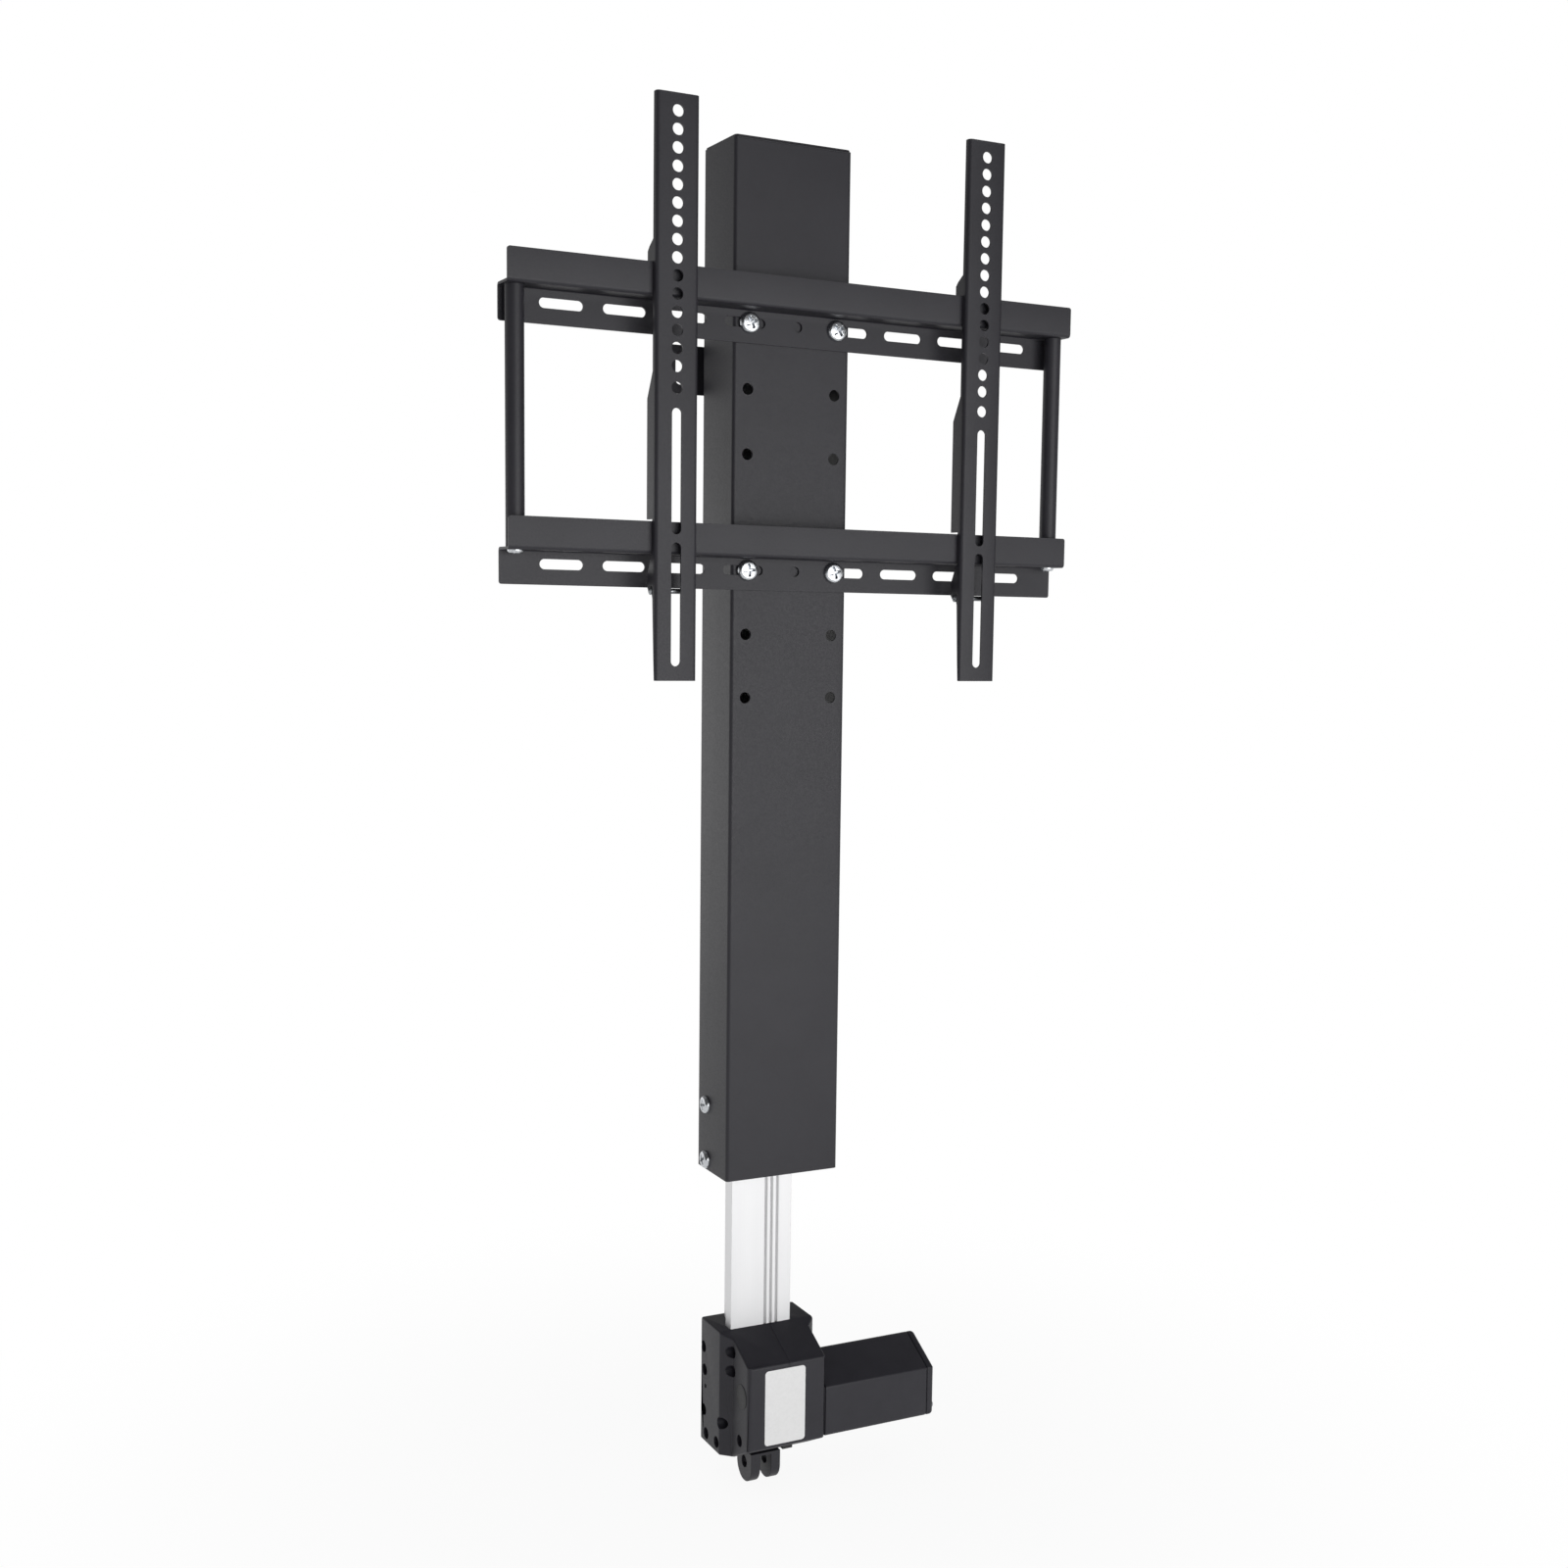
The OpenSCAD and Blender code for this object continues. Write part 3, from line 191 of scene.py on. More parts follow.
def sharp_edges(data):
    """The edges whose two faces turn away from each other by more than the sharp turn, and their midpoints.

    The loops are sorted by their edge, so that the two faces of an edge stand next to each other; their
    normals' dot product is the cosine of the turn."""
    loop_edge = np.empty(len(data.loops), dtype=np.int64)
    data.loops.foreach_get("edge_index", loop_edge)
    totals = np.empty(len(data.polygons), dtype=np.int64)
    data.polygons.foreach_get("loop_total", totals)
    normals = np.empty(len(data.polygons) * 3)
    data.polygons.foreach_get("normal", normals)
    loop_normal = np.repeat(normals.reshape(-1, 3), totals, axis=0)
    order = np.argsort(loop_edge, kind="stable")
    uses = np.bincount(loop_edge, minlength=len(data.edges))
    first = np.concatenate([[0], np.cumsum(uses)[:-1]])
    paired = np.flatnonzero(uses == 2)
    one_side = loop_normal[order[first[paired]]]
    other_side = loop_normal[order[first[paired] + 1]]
    sharp = paired[(one_side * other_side).sum(axis=1) < math.cos(sharp_turn)]
    ends = np.empty(len(data.edges) * 2, dtype=np.int64)
    data.edges.foreach_get("vertices", ends)
    points = np.empty(len(data.vertices) * 3)
    data.vertices.foreach_get("co", points)
    middles = points.reshape(-1, 3)[ends.reshape(-1, 2)].mean(axis=1)
    return sharp, middles[sharp]


def full_round(middles):
    """The whole width of the rounding at every edge."""
    return np.ones(len(middles))


def softened(node, material, width, segments=2, clamp=True, share_at=full_round):
    """A copy of a CAD node with its triangles merged and its sharp edges rounded.

    Each sharp edge gets a round of the given width times its share, which share_at gives from the
    edge's midpoint. With clamp, the shortest edge of the piece limits them all."""
    data = frame["nodes"][node].data.copy()
    data.name = node + "_finished"
    work = bmesh.new()
    work.from_mesh(data)
    bmesh.ops.remove_doubles(work, verts=work.verts, dist=corner_gap)
    bmesh.ops.dissolve_limit(work, angle_limit=flat_turn, verts=work.verts, edges=work.edges,
                             use_dissolve_boundaries=False, delimit=set())
    work.to_mesh(data)
    work.free()
    for name in ("custom_normal", "sharp_face"):
        if name in data.attributes:
            data.attributes.remove(data.attributes[name])
    sharp, middles = sharp_edges(data)
    weights = np.zeros(len(data.edges), dtype=np.float32)
    weights[sharp] = share_at(middles)
    kept = data.attributes.get("bevel_weight_edge")
    layer = kept or data.attributes.new("bevel_weight_edge", "FLOAT", "EDGE")
    layer.data.foreach_set("value", weights)
    data.shade_smooth()
    data.set_sharp_from_angle(angle=sharp_turn)
    piece = link_piece(node + "_finished", data, node, material)
    rounding = piece.modifiers.new("rounding", "BEVEL")
    rounding.limit_method = "WEIGHT"
    rounding.width = width
    rounding.segments = segments
    rounding.use_clamp_overlap = clamp
    rounding.harden_normals = True
    return piece


softened("guide_rail", anodised_aluminium(), 0.35 * mm)

# The end cap of the guide rail is a moulded nylon plug with a flange of the rail's outline.
# It is pressed into the extrusion's open top, and its blind bore steadies the spindle's upper journal.


def moulded_nylon(name, low, high, coarse=1.1 * mm):
    """Glass-filled nylon from an etched mould: matt, with a fine leathery grain and no gloss."""
    material, tree, place = start_material(name)
    skin = grain(tree, place, coarse, 4.0)
    flow = grain(tree, place, 28 * mm, 2.0)
    close_material(tree, {"IOR": 1.5, "Specular IOR Level": 0.42},
                   {"Base Color": tint(tree, flow, low, high),
                    "Roughness": spread(tree, skin, 0.42, 0.54),
                    "Normal": relief(tree, skin, 0.05 * mm, 0.35)})
    return material


cap_nylon = moulded_nylon("black_nylon_trim", "#1F1F21", "#242426")
softened("rail_end_cap", cap_nylon, 0.5 * mm)

# The wall plate is folded from 3 mm steel and powder coated matt black.
# It is screwed to the wall through its upright slots, and its saddle holds the guide rail.


def powder_coat(name, low, high):
    """Matt polyester powder, baked on: a fine orange peel under a dull, even grey black."""
    material, tree, place = start_material(name)
    peel = grain(tree, place, 1.3 * mm, 3.0)
    cloud = grain(tree, place, 60 * mm, 2.0)
    close_material(tree, {"IOR": 1.5, "Specular IOR Level": 0.42},
                   {"Base Color": tint(tree, cloud, low, high),
                    "Roughness": spread(tree, peel, 0.42, 0.52),
                    "Normal": relief(tree, peel, 0.06 * mm, 0.3)})
    return material


frame_coat = powder_coat("matt_black_powder_coat", "#242329", "#29282E")
softened("wall_bracket", frame_coat, 0.5 * mm)

# Two pan-head screws of pressed steel, plated with bright zinc, clamp the wall plate's saddle to the rail.
# Each head is a shallow dome with a rolled rim and a cross recess.
weld_gap = 1e-6
least_edge = 1e-7
crease_turn = math.radians(38)
both_sides = (-1, 1)


def zinc_plate():
    """Blue-passivated zinc on pressed steel: bright, slightly cloudy, with fine turning marks."""
    material, tree, place = start_material("bright_zinc_plate")
    cloud = grain(tree, place, 1.6 * mm, 3.0)
    close_material(tree, {"Metallic": 1.0},
                   {"Base Color": tint(tree, cloud, "#B9BCC0", "#D9DBDE"),
                    "Roughness": spread(tree, cloud, 0.16, 0.28),
                    "Normal": relief(tree, cloud, 0.03 * mm, 0.3)})
    return material


def grid_mesh(name, grids):
    """One mesh from grids of points; a grid's second index runs round and closes on itself.

    Each step of the grid is a four-cornered face, and points that meet are welded. The grids close their
    own ends: the first and last rows meet each other, or shrink to the middle."""
    all_points = []
    all_faces = []
    start = 0
    for grid in grids:
        rows, steps = grid.shape[:2]
        row, step = np.meshgrid(np.arange(rows - 1), np.arange(steps), indexing="ij")
        after = (step + 1) % steps
        corners = np.stack([row * steps + step, row * steps + after, (row + 1) * steps + after,
                            (row + 1) * steps + step], axis=-1)
        all_points.append(grid.reshape(-1, 3))
        all_faces.append(corners.reshape(-1, 4) + start)
        start += rows * steps
    data = bpy.data.meshes.new(name)
    data.from_pydata(np.concatenate(all_points).tolist(), [], np.concatenate(all_faces).tolist())
    work = bmesh.new()
    work.from_mesh(data)
    bmesh.ops.remove_doubles(work, verts=work.verts, dist=weld_gap)
    bmesh.ops.dissolve_degenerate(work, edges=work.edges, dist=least_edge)
    bmesh.ops.recalc_face_normals(work, faces=work.faces)
    work.to_mesh(data)
    work.free()
    data.shade_smooth()
    data.set_sharp_from_angle(angle=crease_turn)
    return data


def full_turn(steps):
    """Even angles once round a circle."""
    return np.linspace(0, 2 * math.pi, steps, endpoint=False)


def screw_grid(head_r, head_t, shank_r, shank_len, recess):
    """A cross-recess screw along +Z with its seat at z = 0, as rings of points.

    The rings run from the head's crown outwards, down the rim, in under the head and down the shank.
    The crown falls with the square of the radius, and its rim by a quarter of an ellipse. The recess is
    a cross of two tapered wings that reach recess metres out. Its walls are ramps in the distance from
    the nearer wing's middle line."""
    rim_start, rim_next = 0.72, 0.76
    crown_rings, rim_rings = 27, 9
    dome = 0.20
    rim_share = 0.97
    wing_root, wing_taper, wing_flank, wing_end = 0.24, 0.10, 0.10, 0.18
    recess_depth = 0.62 * head_t
    tip_len, tip_share = 0.4, 0.7
    turn = full_turn(64)
    share = np.concatenate([np.linspace(0, rim_start, crown_rings), np.linspace(rim_next, 1, rim_rings)])
    radius = head_r * share
    x = radius[:, None] * np.cos(turn)
    y = radius[:, None] * np.sin(turn)
    rim = np.clip((share - rim_start) / (1 - rim_start), 0, 1)
    rim_drop = (1 - dome) * (1 - np.sqrt(1 - rim_share * rim ** 2))
    crown = head_t * (1 - dome * share ** 2 - rim_drop)
    away = np.minimum(np.abs(x), np.abs(y))
    along = np.maximum(np.abs(x), np.abs(y))
    half_width = recess * (wing_root - wing_taper * np.clip(along / recess, 0, 1))
    inside = np.clip((half_width - away) / (wing_flank * recess) + 0.5, 0, 1)
    reach = np.clip((recess - along) / (wing_end * recess), 0, 1)
    head = np.stack([x, y, crown[:, None] - recess_depth * inside * reach], axis=-1)
    stations = np.array([[head_r, 0.0], [shank_r, 0.0], [shank_r, tip_len * shank_r - shank_len],
                         [tip_share * shank_r, -shank_len], [0, -shank_len]])
    shank = np.stack([stations[:, :1] * np.cos(turn), stations[:, :1] * np.sin(turn),
                      np.repeat(stations[:, 1:], len(turn), axis=1)], axis=-1)
    return np.concatenate([head, shank])


def placed(grid, seat, toward, twist):
    """Turns a screw along +Z to point its head toward a direction, twists it and seats it."""
    lean = Vector((0, 0, 1)).rotation_difference(Vector(toward)).to_matrix()
    turned = lean @ Matrix.Rotation(twist, 3, "Z")
    return grid @ np.array(turned).T + np.array(seat)


def screws(node, material, grid, seats):
    """A group of like screws that stands for a CAD node; each seat is a place, a direction and a twist."""
    data = grid_mesh(node + "_pressed", [placed(grid, *seat) for seat in seats])
    return link_piece(node + "_pressed", data, node, material)


def middle(box, axis):
    """Middle of a box along one axis."""
    return (box[0][axis] + box[1][axis]) / 2


zinc = zinc_plate()
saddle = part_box("bracket_screws")
saddle_half = 23 * mm
saddle_screw = screw_grid(head_r=3.8 * mm, head_t=2.2 * mm, shank_r=2.1 * mm, shank_len=3 * mm,
                          recess=2.3 * mm)
screws("bracket_screws", zinc, saddle_screw,
       [((way * saddle_half, middle(saddle, 1), middle(saddle, 2)), (way, 0, 0), 0.4) for way in both_sides])

# A thin circuit board is stuck down the guide rail's side, with a limit switch near each end of it.
# The switches are small moulded boxes, soldered on; the slider's leg presses them at the ends of its travel.
track_pitch = 1.6 * mm
track_side = 0.9 * mm
track_slope = 0.1 * mm


def circuit_board():
    """Green solder mask over copper, whose tracks show as slightly lighter, raised lines.

    The tracks are where a zigzag wave across the board is high."""
    material, tree, place = start_material("green_solder_mask")
    split = add_node(tree, "ShaderNodeSeparateXYZ", {}, {"Vector": place})
    track = add_node(tree, "ShaderNodeMath", {"operation": "PINGPONG", 1: track_pitch},
                     {0: split.outputs["Y"]})
    edge = add_node(tree, "ShaderNodeMapRange",
                    {"From Min": track_side, "From Max": track_side + track_slope,
                     "To Min": noise_low, "To Max": noise_high},
                    {"Value": track.outputs["Value"]}).outputs["Result"]
    close_material(tree, {"Roughness": 0.32, "IOR": 1.55},
                   {"Base Color": tint(tree, edge, "#1D4A2E", "#2E6A43"),
                    "Normal": relief(tree, edge, 0.04 * mm, 0.5)})
    return material


def dress(node, material):
    """Gives a CAD node a finish and leaves its mesh alone."""
    coat(frame["nodes"][node].data, material)


dress("limit_switch_strip", circuit_board())
softened("limit_switches", cap_nylon, 0.4 * mm)

# The gearbox is moulded in two halves from black glass-filled nylon, which long screws draw together.
# Its outside edges are generously rounded by the mould; screw holes and the parting line keep a crisp edge.
left_half_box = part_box("gearbox_left_half")
right_half_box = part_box("gearbox_right_half")
gear_x0, gear_y0, gear_z0 = left_half_box[0]
gear_x1, gear_y1, gear_z1 = right_half_box[1]
split_x = right_half_box[0][0]
left_step = 8.5 * mm
right_step = 7 * mm
front_x0 = gear_x0 + left_step
front_x1 = gear_x1 - right_step
waist_y = -2.5 * mm
underside_rise = 16.5 * mm
slope_drop = 20.4 * mm
slope_top_y = -1 * mm
pocket_half = 27.6 * mm
pocket_y0 = -1.1 * mm
pocket_z0 = gear_z1 - 1 * mm
crisp = 0.01 * mm
least_arc = 0.2 * mm
arc_points = 7
outline_reach = 0.09 * mm
split_reach = 0.05 * mm
mould_rounding = 1.5 * mm
hole_rounding = 0.45 * mm


def round_outline(corners, radii, inset=0.0):
    """A closed outline with rounded corners, drawn smaller by an inset.

    Each corner is an arc of the same number of points, from one side's end to the next side's start.
    Its centre lies on the corner's bisector, the radius over the sine of half the corner's angle away."""
    corners = np.array(corners)
    before = np.roll(corners, 1, axis=0) - corners
    after = np.roll(corners, -1, axis=0) - corners
    before /= np.linalg.norm(before, axis=1, keepdims=True)
    after /= np.linalg.norm(after, axis=1, keepdims=True)
    half = np.arccos(np.clip((before * after).sum(axis=1), -1, 1)) / 2
    bisector = before + after
    bisector /= np.linalg.norm(bisector, axis=1, keepdims=True)
    radii = np.array(radii)
    arc_r = np.maximum(radii - inset, np.minimum(radii, least_arc))
    centres = corners + bisector * ((inset + arc_r) / np.sin(half))[:, None]
    start = np.arctan2(-bisector[:, 1], -bisector[:, 0])
    sweep = math.pi / 2 - half
    side = np.sign(before[:, 0] * after[:, 1] - before[:, 1] * after[:, 0])
    share = np.linspace(-1, 1, arc_points)
    angles = start[:, None] - (side * sweep)[:, None] * share
    spokes = np.stack([np.cos(angles), np.sin(angles)], axis=-1)
    return (centres[:, None, :] + arc_r[:, None, None] * spokes).reshape(-1, 2)


def outline_gap(points, outline):
    """Distance of points in a plane from a closed outline.

    On each side of the outline the nearest point is the foot of the perpendicular, held between its ends."""
    run = np.roll(outline, -1, axis=0) - outline
    length2 = (run ** 2).sum(axis=1)
    offset = points[:, None, :] - outline
    share = np.clip((offset * run).sum(axis=2) / length2, 0, 1)
    return np.linalg.norm(offset - share[:, :, None] * run, axis=2).min(axis=1)


gearbox_plan = round_outline(
    [(gear_x0, waist_y), (front_x0, waist_y - left_step), (front_x0, gear_y0), (front_x1, gear_y0),
     (front_x1, waist_y - right_step), (gear_x1, waist_y), (gear_x1, gear_y1), (gear_x0, gear_y1)],
    [1.5 * mm, crisp, 4 * mm, 3 * mm, crisp, 1.5 * mm, 3 * mm, 3 * mm])
gearbox_side = round_outline(
    [(waist_y - left_step, gear_z0), (gear_y0, gear_z0 + underside_rise), (gear_y0, gear_z1 - slope_drop),
     (slope_top_y, gear_z1), (gear_y1, gear_z1), (gear_y1, gear_z0)],
    [4 * mm, 3 * mm, 3 * mm, crisp, 2.5 * mm, 2.5 * mm])


def mould_round(middles):
    """The share of the rounding at an edge's midpoint.

    It is whole where the point lies on the plan's outline and on the side's, so that the edge borders
    the moulding, and small in the rail's pocket, along the parting line and round the holes."""
    x, y, z = middles.T
    on_plan = outline_gap(middles[:, :2], gearbox_plan) < outline_reach
    on_side = outline_gap(middles[:, 1:], gearbox_side) < outline_reach
    in_pocket = (np.abs(x) < pocket_half) & (y > pocket_y0) & (z > pocket_z0)
    on_split = np.abs(x - split_x) < split_reach
    return np.where(on_plan & on_side & ~in_pocket & ~on_split, 1.0, hole_rounding / mould_rounding)


gearbox_nylon = moulded_nylon("black_glass_filled_nylon", "#222128", "#27262D")
for half in ("gearbox_left_half", "gearbox_right_half"):
    softened(half, gearbox_nylon, mould_rounding, segments=3, clamp=False,
             share_at=mould_round)

# The gearbox screws are hardened steel with a plain turned finish, driven across both halves from the left.
# They sit deep in their holes, where only the dark heads show. The bearings, the spindle's collar, the
# motor's shaft and can and the worm have the same finish.


def turned_steel():
    """Bright drawn steel, turned and ground: fine rings that blur the reflections."""
    material, tree, place = start_material("turned_steel")
    rings = grain(tree, place, 0.5 * mm, 3.0)
    close_material(tree, {"Metallic": 1.0},
                   {"Base Color": tint(tree, rings, "#8F9295", "#A6A9AC"),
                    "Roughness": spread(tree, rings, 0.28, 0.40),
                    "Normal": relief(tree, rings, 0.01 * mm, 0.4)})
    return material


steel = turned_steel()
for node in ("gearbox_screws", "lower_bearing", "upper_bearing", "spindle_collar", "motor_shaft", "worm",
             "motor_can"):
    dress(node, steel)

# The plug is a shallow dome of moulded nylon, pressed into the gearbox's left side.
# It closes the hole through which the worm's tail bush is fitted.
plug_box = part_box("gearbox_plug")
plug_centre = (middle(plug_box, 1), middle(plug_box, 2))
plug_r = (plug_box[1][2] - plug_box[0][2]) / 2


def plug_grid():
    """The plug's skin as rings: a domed face with a rounded rim, its back and the spigot behind it.

    Each ring has its share of the plug's radius and stands so far out of the gearbox's side."""
    share = np.array([0, 0.25, 0.45, 0.6, 0.72, 0.82, 0.9, 0.95, 0.985, 1, 1, 1, 0.81, 0.81, 0.81, 0])
    out = np.array([1, 0.985, 0.94, 0.87, 0.78, 0.67, 0.56, 0.48, 0.38, 0.25, 0.1, 0, 0, -0.6, -1.2, -1.2])
    turn = full_turn(64)
    radius = share[:, None] * plug_r
    return np.stack([np.repeat((front_x0 - out * mm)[:, None], len(turn), axis=1),
                     plug_centre[0] + radius * np.cos(turn), plug_centre[1] + radius * np.sin(turn)], axis=-1)


plug_data = grid_mesh("gearbox_plug_moulded", [plug_grid()])
link_piece("gearbox_plug_moulded", plug_data, "gearbox_plug", cap_nylon)

# The rating label's place on the front face holds a plain white polyester film with round corners.
# It is stuck down flat, with its thin cut edge just standing off the nylon.


def label_film():
    """White polyester film, faintly satin, with a whisper of the nylon's grain under it."""
    material, tree, place = start_material("white_polyester_film")
    under = grain(tree, place, 2.5 * mm, 3.0)
    close_material(tree, {"IOR": 1.5, "Specular IOR Level": 0.4},
                   {"Base Color": tint(tree, under, "#EEEEEE", "#F3F3F3"),
                    "Roughness": spread(tree, under, 0.38, 0.46),
                    "Normal": relief(tree, under, 0.02 * mm, 0.25)})
    return material


softened("rating_label", label_film(), 0.12 * mm)

# The power socket is a small moulded box, open downwards, clipped into the gearbox's slanted underside.
# The supply's plug is pushed up into it.
softened("power_socket", cap_nylon, 0.3 * mm)

# The foot clevis is cast steel with two rounded ears and a cross bore, powder coated like the frame.
# Its spigot is set in the gearbox's floor under the lower bearing; a pin holds it to the floor bracket.
softened("foot_clevis", frame_coat, 0.9 * mm, segments=3)

# The motor lies beside the gearbox in its own moulded housing of the same black nylon.
# A nose reaches past the gearbox's rear block to its front block; a rebate leaves a dark line round the
# joint, and another round the end cap, which two screws hold on.
motor_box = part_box("motor_housing")
cap_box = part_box("motor_end_cap")
motor_y0, motor_z0 = motor_box[0][1:]
motor_y1 = motor_box[1][1]
nose_x = motor_box[0][0]
body_x = gear_x1 + 0.5 * mm
housing_x1 = motor_box[1][0]
cap_x0, cap_x1 = cap_box[0][0], cap_box[1][0]
nose_y = -10.3 * mm
nose_side_band = 2 * mm
shoulder_z = 71 * mm
ridge_y = -4.8 * mm
ridge_round = 0.66 * mm
ridge_z = motor_box[1][2] + ridge_round
floor_corner = 3 * mm
shoulder_corner = 2.4 * mm
ridge_corner = 5 * mm
ridge_slope = (ridge_z - shoulder_z) / (ridge_y - motor_y0)
nose_top = ridge_z - (ridge_y - nose_y) * ridge_slope
motor_corners = [(motor_y0, motor_z0), (motor_y1, motor_z0), (motor_y1, shoulder_z), (ridge_y, ridge_z),
                 (motor_y0, shoulder_z)]
motor_radii = [floor_corner, floor_corner, shoulder_corner, ridge_corner, shoulder_corner]
nose_corners = [(motor_y0, motor_z0), (nose_y, motor_z0), (nose_y, nose_top), (motor_y0, shoulder_z)]
nose_radii = [floor_corner, least_arc, least_arc, shoulder_corner]
shaft_centre = (-4 * mm, 57 * mm)
shaft_hole_r = 8 * mm
wall = 2.5 * mm
end_wall_x = body_x + 3.5 * mm
end_inset = 9 * mm
nose_end_inset = 12 * mm

# A flat end closes to a ring a thousandth of its outline's size
nearly_shut = 0.999


def motor_outline(inset):
    """The motor housing's outline, drawn smaller by an inset."""
    return round_outline(motor_corners, motor_radii, inset)


def nose_outline(inset):
    """Outline of the housing's nose, the part of the section in front of the gearbox's rear block.

    Its side against that block stays in its plane whatever the inset."""
    outline = round_outline(nose_corners, nose_radii, inset)
    against_block = outline[:, 0] > nose_y - nose_side_band
    return np.column_stack([np.where(against_block, nose_y, outline[:, 0]), outline[:, 1]])


def tube_grid(stations, outline, hole_centre, hole_r):
    """Carries an outline along X. Each station is x, the outline's inset, and how far it has closed
    to the round hole (0 is the outline, 1 the circle)."""
    base = outline(0)
    centre = np.array(hole_centre)
    around = np.arctan2(base[:, 1] - centre[1], base[:, 0] - centre[0])
    circle = centre + hole_r * np.stack([np.cos(around), np.sin(around)], axis=-1)
    rows = []
    for x, inset, closed in stations:
        ring = (1 - closed) * outline(inset) + closed * circle
        rows.append(np.column_stack([np.full(len(ring), x), ring]))
    return np.array(rows)


def profile(x, steps):
    """Stations near an end at x, from pairs in millimetres: the way along X from the end, and the inset."""
    return [(x + along * mm, inset * mm, 0) for along, inset in steps]


def carried(node, grids):
    """Moulded shapes carried along X that stand together for one CAD node."""
    data = grid_mesh(node + "_moulded", grids)
    return link_piece(node + "_moulded", data, node, gearbox_nylon)


housing_stations = [
    (body_x, 0, 1), (body_x, 0, 0), *profile(housing_x1, [(-0.5, 0), (-0.1, 0.2), (0, 0.5)]),
    (housing_x1, wall, 0), (end_wall_x, wall, 0), (end_wall_x, wall, 1), (body_x, 0, 1)]
nose_stations = [
    (nose_x, nose_end_inset, nearly_shut),
    *profile(nose_x, [(0, 1.5), (0.8, 1.5), (0.8, 0.6), (1.0, 0.2), (1.5, 0)]),
    (body_x, 0, 0), (body_x, nose_end_inset, nearly_shut)]
cap_stations = [
    (cap_x0, end_inset, nearly_shut),
    *profile(cap_x0, [(0, 1.0), (0.8, 1.0), (0.85, 0.5), (1.2, 0.1), (1.7, 0)]),
    *profile(cap_x1, [(-3.4, 0), (-2.3, 0.3), (-1.3, 0.9), (-0.5, 1.8), (-0.1, 2.8), (0, 3.8)]),
    (cap_x1, end_inset, nearly_shut)]
nose_middle = ((motor_y0 + nose_y) / 2, (motor_z0 + shoulder_z) / 2)
carried("motor_housing", [tube_grid(housing_stations, motor_outline, shaft_centre, shaft_hole_r),
                          tube_grid(nose_stations, nose_outline, nose_middle, 0)])
carried("motor_end_cap", [tube_grid(cap_stations, motor_outline, shaft_centre, 0)])
end_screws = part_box("end_cap_screws")
end_head_r = 3.6 * mm
end_screw = screw_grid(head_r=end_head_r, head_t=2 * mm, shank_r=2 * mm, shank_len=6.5 * mm,
                       recess=2.2 * mm)
end_sides = ((end_screws[0][1] + end_head_r, 0.2), (end_screws[1][1] - end_head_r, 0.9))
screws("end_cap_screws", steel, end_screw,
       [((cap_x1, y, middle(end_screws, 2)), (1, 0, 0), twist) for y, twist in end_sides])

# Inside the housing lie the motor's steel can, two ferrite magnets glued in it, and two bronze bushes.
# The wound armature and its commutator turn between them on the steel shaft.


def bronze(name, low, high):
    """Oil-filled sintered or cast bronze: warm, dull and a little porous."""
    material, tree, place = start_material(name)
    pores = grain(tree, place, 0.7 * mm, 4.0)
    close_material(tree, {"Metallic": 1.0},
                   {"Base Color": tint(tree, pores, low, high),
                    "Roughness": spread(tree, pores, 0.34, 0.5),
                    "Normal": relief(tree, pores, 0.02 * mm, 0.5)})
    return material


def ferrite():
    """Sintered ferrite: charcoal grey, dull and slightly gritty."""
    material, tree, place = start_material("sintered_ferrite")
    grit = grain(tree, place, 0.8 * mm, 4.0)
    close_material(tree, {},
                   {"Base Color": tint(tree, grit, "#35353A", "#46464B"),
                    "Roughness": spread(tree, grit, 0.55, 0.7),
                    "Normal": relief(tree, grit, 0.03 * mm, 0.5)})
    return material


def wound_copper():
    """Enamelled copper wire laid round steel laminations: fine bands across the axis."""
    material, tree, place = start_material("enamelled_copper_wire")
    bands = add_node(tree, "ShaderNodeTexWave",
                     {"wave_type": "BANDS", "bands_direction": "X", "Scale": 1 / (2.4 * mm),
                      "Distortion": 0.4}, {"Vector": place}).outputs["Fac"]
    close_material(tree, {"Metallic": 1.0, "Roughness": 0.34},
                   {"Base Color": tint(tree, bands, "#6E3A22", "#A4613C"),
                    "Normal": relief(tree, bands, 0.1 * mm, 0.6)})
    return material


dress("motor_rear_plate", cap_nylon)
dress("motor_magnets", ferrite())
copper = wound_copper()
for node in ("armature", "commutator"):
    dress(node, copper)
bush_bronze = bronze("sintered_bronze", "#9A7440", "#B08A52")
for node in ("motor_bushes", "worm_tail_bush"):
    dress(node, bush_bronze)

# The worm wheel is cast bronze with hobbed, leaning teeth.
# It is pressed on the spindle between the two bearings and takes its drive from the worm in front of it.
dress("worm_wheel", bronze("hobbed_bronze", "#A98548", "#C6A363"))

# The spindle is a steel bar with a rolled two-start trapezoidal thread of 10 mm lead.
# Ground journals at its ends turn in the gearbox's bearings and in the rail's end cap.
spindle_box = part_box("spindle")
spindle_y = middle(spindle_box, 1)
spindle_z0, spindle_z1 = spindle_box[0][2], spindle_box[1][2]
journal_r = 4 * mm
wheel_seat_r = 6 * mm
bearing_seat_r = 5 * mm
wheel_seat_z = 51 * mm
bearing_seat_z = 78 * mm
thread_z0 = 96 * mm
thread_z1 = spindle_z1 - 16.2 * mm
thread_r = 7 * mm
thread_depth = 1.1 * mm
thread_lead = 10 * mm
thread_starts = 2
thread_flank = 2.2
thread_root = 0.6
ring_step = 0.62 * mm
run_out = 0.4 * mm


